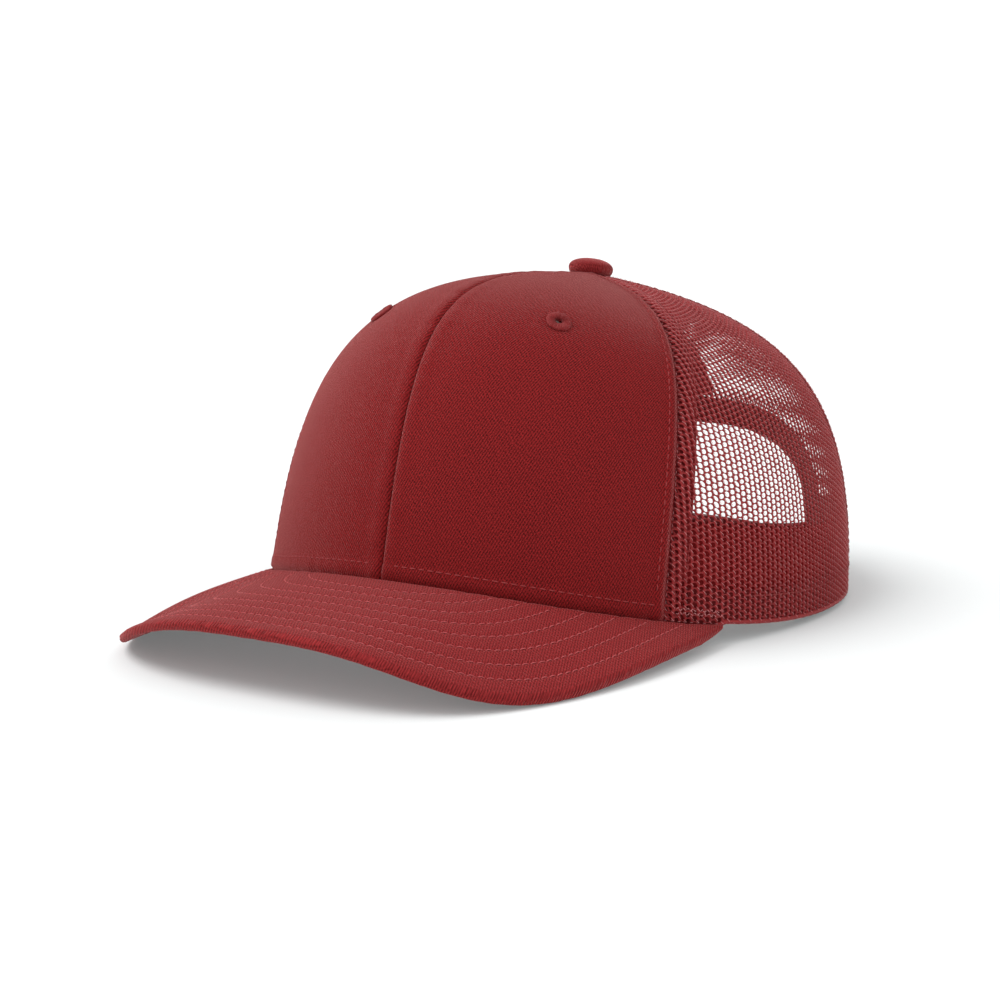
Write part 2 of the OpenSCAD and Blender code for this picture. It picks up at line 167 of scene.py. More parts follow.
def u_at(t, h):
    """Height parameter at which the crown is h above its rim."""
    t, h = np.broadcast_arrays(np.asarray(t, float), np.asarray(h, float))
    lo, hi = np.zeros(t.shape), np.full(t.shape, 0.9)
    for _ in range(22):
        mid = (lo + hi) / 2
        under = crown(t, mid)[..., 2] - rim_z(t) < h
        lo, hi = np.where(under, mid, lo), np.where(under, hi, mid)
    return (lo + hi) / 2


def u_below(t, h):
    steep = (shares(t) @ PROFILES)[..., 1]
    return -h / (3 * steep * (CROWN_HEIGHT - rim_z(t)))


def u_bottom(t):
    return u_below(t, FRONT_DROP * np.clip((VISOR_END_ANGLE - np.abs(t)) / 5, 0, 1))


def front_seam(u):
    return FRONT_SEAM_ANGLE + FRONT_SEAM_DRIFT * u


def back_seam(u):
    return BACK_SEAM_ANGLE + BACK_SEAM_DRIFT * u


def squared(v):
    """A sine or cosine, raised to the power that traces the arch's square-shouldered outline."""
    return np.sign(v) * np.abs(v) ** (2 / ARCH_SQUARENESS)


def arch_at(turn, w=0.0):
    """A point w outside the rear arch: 0 is its corner on the wearer's left and 90 its top."""
    turn = np.radians(turn)
    t = 180 - (ARCH_HALF_ANGLE + np.degrees(w / REAR_REACH)) * squared(np.cos(turn))
    return t, u_at(t, (ARCH_HEIGHT + w) * squared(np.sin(turn)))


def length_per_degree(t, u):
    return np.linalg.norm(crown(t + 0.5, u) - crown(t - 0.5, u), axis=-1)


def degrees_for(t, u, width):
    """The angle that covers this width along the crown."""
    return width / np.maximum(length_per_degree(t, u), 1e-3)


def mix(a, b, s):
    return a + (b - a) * s


def bump(d, centre, width):
    return np.exp(-(((d - centre) / width) ** 2))


def smooth(x):
    x = np.clip(x, 0, 1)
    return x * x * (3 - 2 * x)


def run(points, axis):
    """Distance covered along one axis of a grid of points."""
    step = np.linalg.norm(np.diff(points, axis=axis), axis=-1)
    start = np.zeros_like(np.take(step, [0], axis=axis))
    return np.concatenate([start, np.cumsum(step, axis=axis)], axis=axis)


# ---------------------------------------------------------------- meshes


def make_mesh(name, points, faces, cloth=None, mirrored=False, crease=50):
    """A mesh object from points in mm and arrays of faces; cloth holds its flat coordinates."""
    points = np.asarray(points, float).reshape(-1, 3) * MM
    if mirrored:
        points = points * [-1, 1, 1]
        faces = [f[:, ::-1] for f in faces]
    me = bpy.data.meshes.new(name)
    me.vertices.add(len(points))
    me.vertices.foreach_set("co", points.astype(np.float32).ravel())
    counts = np.concatenate([np.full(len(f), f.shape[1]) for f in faces])
    corners = np.concatenate([f.ravel() for f in faces])
    me.loops.add(len(corners))
    me.loops.foreach_set("vertex_index", corners.astype(np.int32))
    me.polygons.add(len(counts))
    starts = np.concatenate([[0], np.cumsum(counts)[:-1]])
    me.polygons.foreach_set("loop_start", starts.astype(np.int32))
    me.update(calc_edges=True)
    me.validate()
    if cloth is not None:
        flat = np.zeros((len(points), 3), np.float32)
        flat[:, :2] = np.asarray(cloth, float).reshape(-1, 2) * MM
        me.attributes.new("cloth", "FLOAT_VECTOR", "POINT").data.foreach_set("vector", flat.ravel())
    me.shade_smooth()
    me.set_sharp_from_angle(angle=math.radians(crease))
    ob = bpy.data.objects.new(name, me)
    bpy.context.scene.collection.objects.link(ob)
    return ob


def grid_quads(columns, rows):
    i, j = np.meshgrid(np.arange(columns - 1), np.arange(rows - 1), indexing="ij")
    a = (i * rows + j).ravel()
    return np.stack([a, a + rows, a + rows + 1, a + 1], -1)


def shell(name, outer, inner, keep=None, cloth=None, mirrored=False, crease=50):
    """A closed piece between two grids of points, with walls along every open edge."""
    columns, rows = outer.shape[:2]
    quads = grid_quads(columns, rows)
    if keep is not None:
        quads = quads[keep.ravel()]
    half = columns * rows
    start, end = quads.ravel(), np.roll(quads, -1, axis=1).ravel()
    here, back = start * half + end, end * half + start
    open_edge = ~np.isin(here, back)
    a, b = start[open_edge], end[open_edge]
    walls = np.stack([b, a, a + half, b + half], -1)
    faces = np.concatenate([quads, quads[:, ::-1] + half, walls])
    points = np.concatenate([outer.reshape(-1, 3), inner.reshape(-1, 3)])
    used, new = np.unique(faces, return_inverse=True)
    faces = new.reshape(faces.shape)
    points = points[used]
    if cloth is not None:
        cloth = np.concatenate([cloth.reshape(-1, 2)] * 2)[used]
    return make_mesh(name, points, [faces], cloth, mirrored, crease)


def soft_strip(outer, inner, depth=0.35):
    """Pulls the two faces of a strip together along its long edges, so that they look folded."""
    outer, inner = outer.copy(), inner.copy()
    middle = (outer + inner) / 2
    for row in (0, -1):
        outer[:, row] = mix(outer[:, row], middle[:, row], depth)
        inner[:, row] = mix(inner[:, row], middle[:, row], depth)
    return outer, inner


def strip(name, outer, inner, slot, material, node, soft=0.35, crosswise=False, mirrored=False):
    """A folded strip between two grids; crosswise turns its weave a quarter."""
    outer, inner = soft_strip(outer, inner, soft)
    flat = [run(outer, 0), run(outer, 1)]
    cloth = np.stack(flat[::-1] if crosswise else flat, -1)
    return place(shell(name, outer, inner, None, cloth, mirrored), "cap", slot, material, node)


def place(ob, body, slot, material, *nodes):
    """Material, body and the CAD nodes that a piece stands for; the slot is not used."""
    ob.data.materials.clear()
    ob.data.materials.append(material)
    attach(ob, body)
    if nodes:
        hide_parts(*nodes)
    return ob


def tube_faces(count, rings, sides):
    """Faces of many short closed tubes whose points run ring by ring."""
    base = np.arange(count)[:, None, None] * rings * sides
    ring = np.arange(rings - 1)[None, :, None] * sides
    k = np.arange(sides)[None, None, :]
    a, b = base + ring + k, base + ring + (k + 1) % sides
    tube = np.stack([a, b, b + sides, a + sides], -1).reshape(-1, 4)
    first = (base[:, 0] + np.arange(sides)[::-1]).reshape(-1, sides)
    last = (base[:, 0] + (rings - 1) * sides + np.arange(sides)).reshape(-1, sides)
    return [tube, first, last]


# ---------------------------------------------------------------- stitches

THREAD_SUNK = -0.12


def resample(points, normals, distances):
    s = run(points, 0)

    def pick(values):
        return np.stack([np.interp(distances, s, values[:, k]) for k in range(3)], -1)

    return pick(points), unit(pick(normals))


def stitch_rows(name, paths, pitch=2.7, length=2.05, radius=0.21, rise=0.2, mirror_too=False):
    """Rows of thread stitches along paths of (points, outward normals), each dipping at its ends."""
    rings, sides = 5, 6
    x = np.linspace(0, 1, rings)
    height = THREAD_SUNK + (rise - THREAD_SUNK) * np.sin(np.pi * x) ** 0.7
    thick = radius * (0.55 + 0.45 * np.sin(np.pi * x))
    turn = np.linspace(0, 2 * np.pi, sides, endpoint=False)
    all_points, all_cloth, count = [], [], 0
    for points, normals in paths:
        total = run(points, 0)[-1]
        number = int((total - length) / pitch)
        if number < 1:
            continue
        start = (total - number * pitch + pitch - length) / 2 + pitch * np.arange(number)
        at = start[:, None] + length * x[None, :]
        centre, normal = resample(points, normals, at.ravel())
        ahead, _ = resample(points, normals, at.ravel() + 0.2)
        behind, _ = resample(points, normals, at.ravel() - 0.2)
        side = unit(np.cross(unit(ahead - behind), normal))
        h = np.tile(height, number)[:, None]
        r = np.tile(thick, number)[:, None]
        ring = (
            (centre + normal * h)[:, None, :]
            + side[:, None, :] * (r * np.cos(turn))[:, :, None]
            + normal[:, None, :] * (r * np.sin(turn) * 0.85)[:, :, None]
        )
        all_points.append(ring.reshape(-1, 3))
        flat = np.stack(np.broadcast_arrays(at.reshape(-1, 1), turn[None, :] * radius), -1)
        all_cloth.append(flat.reshape(-1, 2))
        count += number
    points = np.concatenate(all_points)
    cloth = np.concatenate(all_cloth)
    faces = tube_faces(count, rings, sides)
    if mirror_too:
        faces = [np.concatenate([part, part[:, ::-1] + len(points)]) for part in faces]
        points = np.concatenate([points, points * [-1, 1, 1]])
        cloth = np.concatenate([cloth, cloth])
    return make_mesh(name, points, faces, cloth, crease=70)


def sew(name, paths, material, **thread):
    """Stitch rows that ride on the cap."""
    place(stitch_rows(name, paths, **thread), "cap", "eyelet_thread", material)


def crown_path(t, u, depth=0.0, inside=False):
    """A stitching path on the crown; inside turns the stitches toward the wearer's head."""
    t, u = np.broadcast_arrays(np.asarray(t, float), np.asarray(u, float))
    normal = crown_normal(t, u)
    return on_crown(t, u, np.full(t.shape, float(depth))), -normal if inside else normal


# ---------------------------------------------------------------- materials


class Shader:
    """A node material under construction."""

    def __init__(self, name):
        self.material = bpy.data.materials.new(name)
        self.material.use_nodes = True
        self.tree = self.material.node_tree
        self.surface = self.tree.nodes["Principled BSDF"]

    def node(self, kind, inputs=None, **settings):
        made = self.tree.nodes.new("ShaderNode" + kind)
        for key, value in settings.items():
            setattr(made, key, value)
        for key, value in (inputs or {}).items():
            if isinstance(value, bpy.types.NodeSocket):
                self.tree.links.new(value, made.inputs[key])
            else:
                made.inputs[key].default_value = value
        return made

    def cloth(self, turn=0.0):
        """The piece's flat coordinates, turned by an angle in degrees."""
        at = self.node("Attribute", attribute_name="cloth").outputs["Vector"]
        turned = self.node(
            "Mapping", {"Vector": at, "Rotation": (0, 0, math.radians(turn))}, vector_type="POINT"
        )
        return turned.outputs["Vector"]

    def place(self):
        return self.node("TexCoord").outputs["Object"]

    def math(self, operation, a, b=0.0):
        return self.node("Math", {0: a, 1: b}, operation=operation).outputs[0]

    def noise(self, at, size, detail=3.0, roughness=0.55):
        made = self.node(
            "TexNoise", {"Vector": at, "Scale": 1 / size, "Detail": detail, "Roughness": roughness}
        )
        return made.outputs["Fac"]

    def bands(self, at, pitch, waver=0.6, waver_size=0.003, direction="X"):
        """Ribs of this pitch across one direction, slightly uneven."""
        made = self.node(
            "TexWave",
            {
                "Vector": at,
                "Scale": math.pi / 10 / pitch,
                "Distortion": waver,
                "Detail": 2.0,
                "Detail Scale": pitch / waver_size * 2,
            },
            wave_type="BANDS",
            bands_direction=direction,
        )
        return made.outputs["Fac"]

    def streaks(self, turn, width, stretch):
        """Short uneven dashes of this width, several times longer along one direction."""
        at = self.node("Mapping", {"Vector": self.cloth(turn), "Scale": (1, 1 / stretch, 1)})
        return self.noise(at.outputs["Vector"], width, 2.0)

    def ramp(self, value, low, high, start=0.0, end=1.0):
        made = self.node("ValToRGB", {"Fac": value})
        stops = made.color_ramp.elements
        stops[0].position, stops[1].position = start, end
        stops[0].color, stops[1].color = (*low, 1), (*high, 1)
        return made.outputs["Color"]

    def blend(self, factor, a, b):
        made = self.node("Mix", data_type="RGBA", blend_type="MIX")
        for socket, value in ((made.inputs[0], factor), (made.inputs[6], a), (made.inputs[7], b)):
            if isinstance(value, bpy.types.NodeSocket):
                self.tree.links.new(value, socket)
            else:
                socket.default_value = (*value, 1) if isinstance(value, tuple) else value
        return made.outputs[2]

    def relief(self, height, distance, strength=1.0, before=None):
        inputs = {"Height": height, "Distance": distance, "Strength": strength}
        if before is not None:
            inputs["Normal"] = before
        return self.node("Bump", inputs).outputs["Normal"]

    def finish(
        self, color, normal=None, roughness=0.8, sheen=0.0, tint=(1, 1, 1), spec=0.3, metal=0.0
    ):
        self.tree.links.new(color, self.surface.inputs["Base Color"])
        if isinstance(roughness, bpy.types.NodeSocket):
            self.tree.links.new(roughness, self.surface.inputs["Roughness"])
        else:
            self.surface.inputs["Roughness"].default_value = roughness
        self.surface.inputs["Sheen Weight"].default_value = sheen
        self.surface.inputs["Sheen Roughness"].default_value = 0.24
        self.surface.inputs["Sheen Tint"].default_value = (*tint, 1)
        self.surface.inputs["Specular IOR Level"].default_value = spec
        self.surface.inputs["Metallic"].default_value = metal
        if normal is not None:
            self.tree.links.new(normal, self.surface.inputs["Normal"])
        return self.material


RED_DARK = (0.055, 0.0023, 0.0027)
RED = (0.365, 0.0185, 0.0200)
# The visor top's twill is the crown's cloth; its paler, pinker palette is a painted highlight of the
# light on its upturned face.
VISOR_DARK = (0.100, 0.0042, 0.0048)
VISOR_RED_PAINTED_HIGHLIGHT = (0.390, 0.0300, 0.0320)
SHEEN_TINT = (1.0, 0.38, 0.37)


def twill(name, turn, dark=RED_DARK, light=RED, sheen=1.0, pitch=0.00074, stretch=2.0):
    """Cotton twill: steep ribs broken into short bright floats, and a brushed surface."""
    s = Shader(name)
    ribs = s.bands(s.cloth(turn), pitch, 1.2, 0.002)
    floats = s.bands(s.cloth(turn - 66), pitch * 1.3, 1.6, 0.002)
    slubs = s.streaks(turn, 0.00028, stretch)
    slubs = s.math("SUBTRACT", s.math("MULTIPLY", slubs, 3.0), 1.0)
    fibres = s.noise(s.cloth(), 0.0003, 2.0)
    clouds = s.noise(s.place(), 0.018, 4.0)
    weave = s.math("ADD", s.math("MULTIPLY", ribs, 0.38), s.math("MULTIPLY", floats, 0.14))
    weave = s.math("ADD", weave, s.math("MULTIPLY", slubs, 0.48))
    base = s.ramp(weave, dark, light, 0.22, 0.78)
    base = s.blend(s.math("MULTIPLY", clouds, 0.15), base, light)
    normal = s.relief(weave, 0.00030, 0.9)
    normal = s.relief(fibres, 0.00008, 0.6, normal)
    rough = s.math("ADD", s.math("MULTIPLY", fibres, 0.18), 0.74)
    return s.finish(base, normal, rough, sheen, SHEEN_TINT, 0.12)


def yarn(name, dark, light, sheen=0.3, spec=0.4, pitch=0.0003, turn=35, rough=0.5):
    """Polyester filaments: fine slanting fibres with a soft shine."""
    s = Shader(name)
    fibres = s.bands(s.cloth(turn), pitch, 1.4, 0.001)
    specks = s.noise(s.place(), 0.0005, 2.0)
    patches = s.noise(s.place(), 0.02, 2.0)
    mixed = s.math("ADD", s.math("MULTIPLY", fibres, 0.45), s.math("MULTIPLY", specks, 0.55))
    base = s.ramp(mixed, dark, light, 0.3, 0.75)
    base = s.blend(s.math("MULTIPLY", patches, 0.25), base, light)
    normal = s.relief(fibres, 0.00008, 0.7)
    roughness = s.math("ADD", s.math("MULTIPLY", specks, 0.2), rough - 0.1)
    return s.finish(base, normal, roughness, sheen, SHEEN_TINT, spec)


def woven_tape(name, dark, light):
    """Plain woven tape: fine ribs across its length and the warp along it."""
    s = Shader(name)
    ribs = s.bands(s.cloth(), 0.0006, 0.5, 0.002)
    warp = s.bands(s.cloth(), 0.0004, 0.5, 0.002, "Y")
    weave = s.math("MULTIPLY", ribs, warp)
    dust = s.noise(s.place(), 0.004, 3.0)
    shade = s.math("ADD", s.math("MULTIPLY", weave, 0.6), s.math("MULTIPLY", dust, 0.4))
    base = s.ramp(shade, dark, light, 0.1, 0.7)
    return s.finish(base, s.relief(weave, 0.00012, 0.8), 0.8, 0.3, SHEEN_TINT, 0.25)


def buckram_cloth():
    """Stiff open-weave buckram, coated, with its coarse square grid of threads."""
    s = Shader("buckram")
    across = s.bands(s.cloth(), 0.0011, 0.3, 0.004)
    along = s.bands(s.cloth(), 0.0011, 0.3, 0.004, "Y")
    grid = s.math("MAXIMUM", across, along)
    glue = s.noise(s.place(), 0.006, 3.0)
    shade = s.math("ADD", s.math("MULTIPLY", grid, 0.7), s.math("MULTIPLY", glue, 0.3))
    base = s.ramp(shade, (0.42, 0.40, 0.36), (0.80, 0.78, 0.72), 0.25, 0.85)
    return s.finish(base, s.relief(grid, 0.0002, 0.8), 0.75, 0.1, (1, 1, 1), 0.25)


def padding_facing():
    """The strip behind the sweatband: thin foam faced with red jersey."""
    s = Shader("padding_facing")
    cells = s.node("TexVoronoi", {"Vector": s.place(), "Scale": 1 / 0.0009}).outputs["Distance"]
    ribs = s.bands(s.cloth(), 0.0008, 0.6, 0.003)
    tone = s.noise(s.place(), 0.01, 2.0)
    shade = s.math("ADD", s.math("MULTIPLY", tone, 0.6), s.math("MULTIPLY", ribs, 0.4))
    base = s.ramp(shade, (0.190, 0.0090, 0.0100), (0.290, 0.0165, 0.0180), 0.2, 0.8)
    return s.finish(base, s.relief(cells, 0.0002, 0.7), 0.9, 0.25, SHEEN_TINT, 0.1)


def board_plastic():
    s = Shader("visor_board_plastic")
    grain = s.noise(s.place(), 0.0008, 4.0)
    tone = s.noise(s.place(), 0.03, 2.0)
    base = s.ramp(tone, (0.45, 0.45, 0.44), (0.62, 0.62, 0.60), 0.2, 0.8)
    rough = s.math("ADD", s.math("MULTIPLY", grain, 0.3), 0.35)
    return s.finish(base, s.relief(grain, 0.00005, 0.5), rough, 0.0, (1, 1, 1), 0.4)


def pressed_metal():
    s = Shader("button_metal")
    brushed = s.noise(s.place(), 0.0004, 4.0)
    tarnish = s.noise(s.place(), 0.003, 3.0)
    base = s.ramp(tarnish, (0.45, 0.44, 0.42), (0.68, 0.67, 0.64), 0.3, 0.7)
    rough = s.math("ADD", s.math("MULTIPLY", brushed, 0.25), 0.25)
    return s.finish(base, s.relief(brushed, 0.00002, 0.4), rough, 0.0, (1, 1, 1), 0.5, 1.0)


def strap_plastic():
    """Moulded soft plastic with a fine matt grain and slight rub marks."""
    s = Shader("strap_plastic")
    grain = s.noise(s.place(), 0.00025, 3.0)
    flow = s.noise(s.place(), 0.012, 3.0)
    rub = s.noise(s.place(), 0.0025, 5.0, 0.7)
    base = s.ramp(flow, (0.155, 0.0080, 0.0090), (0.215, 0.0135, 0.0145), 0.25, 0.75)
    marks = s.ramp(rub, (0.34, 0.34, 0.34), (0.52, 0.52, 0.52), 0.35, 0.7)
    return s.finish(base, s.relief(grain, 0.00003, 0.5), marks, 0.0, (1, 1, 1), 0.45)


def build_materials():
    return {
        "front_left": twill("twill_front_left", 25),
        "front_right": twill("twill_front_right", 25),
        # Visor top: its paler palette holds painted highlight.
        "visor": twill("twill_visor", -31, VISOR_DARK, VISOR_RED_PAINTED_HIGHLIGHT, 0.65, 0.00080, 2.2),
        "under": twill("twill_under_visor", -31, stretch=3.0),
        "band": twill("twill_sweatband", -58, (0.085, 0.004, 0.0045), (0.270, 0.0145, 0.0155), 0.5),
        # The button's twill is the crown's cloth, coloured paler and pinker: painted highlight of the
        # light on its top.
        "button": twill("twill_button_painted_highlight", -60, (0.130, 0.0070, 0.0080), (0.460, 0.0480, 0.0510)),
        "net": yarn("net_yarn", (0.230, 0.0100, 0.0115), (0.480, 0.0300, 0.0330), 0.15, 0.35),
        # The twists' pale pink yarn stands for the shine of polyester filaments: painted highlight.
        "gleam": yarn("net_twist_yarn_painted_highlight", (0.560, 0.1200, 0.1250), (0.850, 0.3600, 0.3650), 0.3, 0.5),
        "thread": yarn(
            "stitch_thread", (0.24, 0.015, 0.016), (0.47, 0.058, 0.060), 0.3, 0.35, 0.00022, 40, 0.55
        ),
        # The visor's stitch thread is paler and pinker than its cloth: painted highlight on the raised
        # stitches.
        "visor_thread_painted_highlight": yarn(
            "visor_thread_painted_highlight", (0.48, 0.055, 0.058), (0.75, 0.150, 0.155), 0.4, 0.4, 0.00022, 40, 0.5
        ),
        "eyelet": yarn(
            "eyelet_thread", (0.16, 0.008, 0.009), (0.37, 0.028, 0.030), 0.6, 0.30, 0.0002, 12, 0.6
        ),
        # The seam tape is paler than its own red: painted light, lifting the shade it lies in behind the
        # net.
        "tape": woven_tape("seam_tape", (0.21, 0.0100, 0.011), (0.40, 0.0240, 0.026)),
        "binding": woven_tape("binding_tape", (0.14, 0.0070, 0.0078), (0.29, 0.0175, 0.019)),
        "buckram": buckram_cloth(),
        "padding": padding_facing(),
        "board": board_plastic(),
        "metal": pressed_metal(),
        "plastic": strap_plastic(),
    }


# ---------------------------------------------------------------- front panels

SIDE_ROW = 3.6
BOTTOM_ROW = 3.9
STITCH_PITCH = 2.7


def dense_ends(edge, near, middle):
    """Shares from 0 to 1 that lie closer together near both ends."""
    return np.concatenate(
        [
            np.linspace(0, edge, near, endpoint=False),
            np.linspace(edge, 1 - edge, middle, endpoint=False),
            np.linspace(1 - edge, 1, near + 1),
        ]
    )


def wrinkle(s, period, seed):
    """A smooth uneven wave along a seam, between -1 and 1."""
    rng = np.random.default_rng(seed)
    out = np.zeros_like(s)
    for k in range(5):
        out += np.sin(2 * np.pi * s / (period * (0.6 + 0.35 * k)) + rng.uniform(0, 2 * np.pi)) / 5
    return out * 2


def front_panel(side, mats):
    mirrored = side == "right"
    a = dense_ends(0.09, 18, 66)[:, None]
    b = dense_ends(0.05, 12, 110)[None, :]
    u = mix(u_bottom(a * FRONT_SEAM_ANGLE), TOP_U, b)
    t = mix(SEAM_GAP, front_seam(u) - SEAM_GAP, a)
    base, normal = crown(t, u), crown_normal(t, u)
    across, up = run(base, 0), run(base, 1)
    from_side = across[-1:] - across
    from_rim = up - FRONT_DROP
    seed = SEED + (1 if mirrored else 0)
    # Seams turn the cloth in; the allowance beneath lifts a ridge as far as the stitching
    turn_in = 0.75 * bump(across, 0, 0.65) + 0.92 * bump(from_side, 0, 1.1)
    turn_in = np.maximum(turn_in, 0.6 * smooth((0.6 - from_rim) / 0.9))
    ridge = 0.28 * bump(across, 3.0, 2.2)
    ridge += 0.42 * smooth(from_side / 2.2) * smooth((SIDE_ROW + 0.9 - from_side) / 1.2)
    ridge += 0.35 * smooth((BOTTOM_ROW + 0.9 - from_rim) / 1.2) * smooth(from_rim / 0.8)
    pull = 0.5 + 0.5 * np.cos(2 * np.pi * up / STITCH_PITCH)
    sunk = 0.22 * bump(from_side, SIDE_ROW, 0.55) * (0.6 + 0.4 * pull)
    pull = 0.5 + 0.5 * np.cos(2 * np.pi * across / STITCH_PITCH)
    sunk += 0.2 * bump(from_rim, BOTTOM_ROW, 0.55) * (0.6 + 0.4 * pull)
    puckers = 0.16 * wrinkle(up, 9.0, seed) * np.exp(-across / 5.0) * smooth(across / 1.5)
    puckers += 0.10 * wrinkle(up, 7.0, seed + 20) * np.exp(-from_side / 5.0) * smooth(from_side)
    puckers += 0.10 * wrinkle(across, 8.0, seed + 40) * np.exp(-np.maximum(from_rim, 0) / 5.0)
    eye = crown(*EYELET_AT)
    from_eye = np.linalg.norm(base - eye, axis=-1)
    dimple = 0.35 * np.exp(-((from_eye / (EYELET_R * 1.25)) ** 2))
    depth = turn_in - ridge + sunk + puckers + dimple
    outer = base - depth[..., None] * normal
    inner = base - (TWILL_T + 0.15 * turn_in)[..., None] * normal
    centre = (from_eye[:-1, :-1] + from_eye[1:, 1:] + from_eye[1:, :-1] + from_eye[:-1, 1:]) / 4
    keep = centre > EYELET_HOLE_R + 0.55
    cloth = np.stack([across if not mirrored else -across, up], -1)
    ob = shell(f"twill_front_{side}", outer, inner, keep, cloth, mirrored, 60)
    place(ob, "cap", "cotton_twill", mats[f"front_{side}"], f"front_panel_{side}")


def front_stitches(mats):
    rows = []
    t = np.linspace(1.6, FRONT_SEAM_ANGLE - 1.0, 80)
    rows.append(crown_path(t, u_at(t, BOTTOM_ROW), -0.1))
    u = np.linspace(float(u_at(FRONT_SEAM_ANGLE, BOTTOM_ROW)) + 0.01, 0.955, 140)
    t = front_seam(u)
    rows.append(crown_path(t - degrees_for(t, u, SIDE_ROW), u, -0.12))
    sew("stitches_front_panels", rows, mats["thread"], pitch=STITCH_PITCH, mirror_too=True)


BUCKRAM_FOOT = 2.4
EYELET_CUT_R = EYELET_HOLE_R + 0.7


def buckram(side, mats):
    a = np.linspace(0, 1, 60)[:, None]
    b = np.linspace(0, 1, 90)[None, :]
    u = mix(u_at(a * FRONT_SEAM_ANGLE, BUCKRAM_FOOT), TOP_U, b)
    t = mix(SEAM_GAP + 1, front_seam(u) - SEAM_GAP - 1, a)
    outer = on_crown(t, u, BUCKRAM_DEPTH + 0 * t)
    inner = on_crown(t, u, BUCKRAM_DEPTH + BUCKRAM_T + 0 * t)
    cloth = np.stack([run(outer, 0), run(outer, 1)], -1)
    eye = crown(*EYELET_AT) - crown_normal(*EYELET_AT) * BUCKRAM_DEPTH
    middle = (outer[:-1, :-1] + outer[1:, 1:]) / 2
    keep = np.linalg.norm(middle - eye, axis=-1) > EYELET_CUT_R
    cut = np.zeros(outer.shape[:2], bool)
    for i in (0, 1):
        for j in (0, 1):
            cut[i : i + keep.shape[0], j : j + keep.shape[1]] |= ~keep
    away = outer - eye
    far = np.linalg.norm(away, axis=-1)
    pull = away * (EYELET_CUT_R / np.maximum(far, 0.1) - 1)[..., None] * cut[..., None]
    outer, inner = outer + pull, inner + pull
    ob = shell(f"buckram_{side}", outer, inner, keep, cloth, side == "right")
    place(ob, "cap", "buckram", mats["buckram"], f"front_buckram_{side}")


# ---------------------------------------------------------------- net panels

COLUMN_PITCH = 2.25
ROW_PITCH = 1.78
HOLE_W = 1.68
HOLE_H = 1.46
HOLE_ROUNDNESS = 0.85
TWIST_R = 0.085
TWIST_REACH = (0.52, -0.52)
BACK_MIDDLE = 158


class FlatPanel:
    """Flat net coordinates on the crown: across from a panel's middle line, and up along it."""

    def __init__(self, middle, low_u):
        u = np.linspace(low_u, TOP_U, 150)
        line = crown(middle(u), u)
        heights = run(line, 0)
        self.span = 75.0
        self.across = np.linspace(-self.span, self.span, 151)
        self.up = np.linspace(0, heights[-1], 150)
        self.height = heights[-1]
        at_u = np.interp(self.up, heights, u)
        rows = []
        for value in at_u:
            t = middle(value) + np.linspace(-95, 95, 381)
            points = crown(t, value)
            s = run(points, 0)
            s = s - np.interp(middle(value), t, s)
            rows.append(np.interp(self.across, s, t, left=t[0] - 100, right=t[-1] + 100))
        self.t = np.array(rows)
        self.u = at_u

    def find(self, s, v):
        """Crown coordinates of flat points."""
        i = np.clip((v - self.up[0]) / (self.up[1] - self.up[0]), 0, len(self.up) - 1.001)
        step = self.across[1] - self.across[0]
        j = np.clip((s + self.span) / step, 0, len(self.across) - 1.001)
        i0, j0 = i.astype(int), j.astype(int)
        fi, fj = i - i0, j - j0
        low = mix(self.t[i0, j0], self.t[i0, j0 + 1], fj)
        high = mix(self.t[i0 + 1, j0], self.t[i0 + 1, j0 + 1], fj)
        return mix(low, high, fi), mix(self.u[i0], self.u[i0 + 1], fi)


def arch_foot(t):
    """Height parameter of the back net's lower edge: over the rear arch, and the rim beside it."""
    across = np.clip(np.abs(180 - t) / ARCH_HALF_ANGLE, 0, 1) ** ARCH_SQUARENESS
    return np.where(across < 1, u_at(t, ARCH_HEIGHT * (1 - across) ** (1 / ARCH_SQUARENESS)), 0.0)


def hexagons(columns, rows, shift, seed):
    """Cells of the net in flat coordinates: 12 points round each cell and 12 round its hole."""
    rng = np.random.default_rng(seed)
    i, j = np.meshgrid(np.arange(-columns, columns + 1), np.arange(-1, rows + 1), indexing="ij")
    i, j = i.ravel(), j.ravel()
    centre = np.stack([i * COLUMN_PITCH, (j + 0.5 * (i % 2)) * ROW_PITCH], -1) + shift
    half_row = ROW_PITCH / 2
    # Corners of the cell, then the middle of each side
    near = (COLUMN_PITCH**2 - half_row**2) / (2 * COLUMN_PITCH)
    far = COLUMN_PITCH - near
    corners = np.array(
        [[near, -half_row], [far, 0], [near, half_row], [-near, half_row], [-far, 0], [-near, -half_row]]
    )
    middles = (corners + np.roll(corners, -1, axis=0)) / 2
    cell = np.stack([corners, middles], 1).reshape(-1, 2)
    angle = np.arctan2(cell[:, 1], cell[:, 0])
    hole = np.stack([np.cos(angle), np.sin(angle)], -1)
    hole = np.sign(hole) * np.abs(hole) ** HOLE_ROUNDNESS * [HOLE_W / 2, HOLE_H / 2]
    edge = centre[:, None, :] + cell[None]
    lean = rng.normal(0, 0.13, len(centre))[:, None] + 0.16 * np.where(i % 2, 1, -1)[:, None]
    size = 1 + rng.normal(0, 0.05, (len(centre), 1, 2))
    ring = hole[None] * size
    ring = ring + np.stack([np.zeros_like(ring[..., 0]), lean * ring[..., 0] * 0.9], -1)
    ring = centre[:, None, :] + ring
    return centre, edge, ring


# Raised most at the corners along the thick vertical strands, least at the middle of the links
STRAND_RISE = np.array([0.25, 0.30, 0.28, 0.30, 0.25, 0.13, 0.25, 0.30, 0.28, 0.30, 0.25, 0.13])


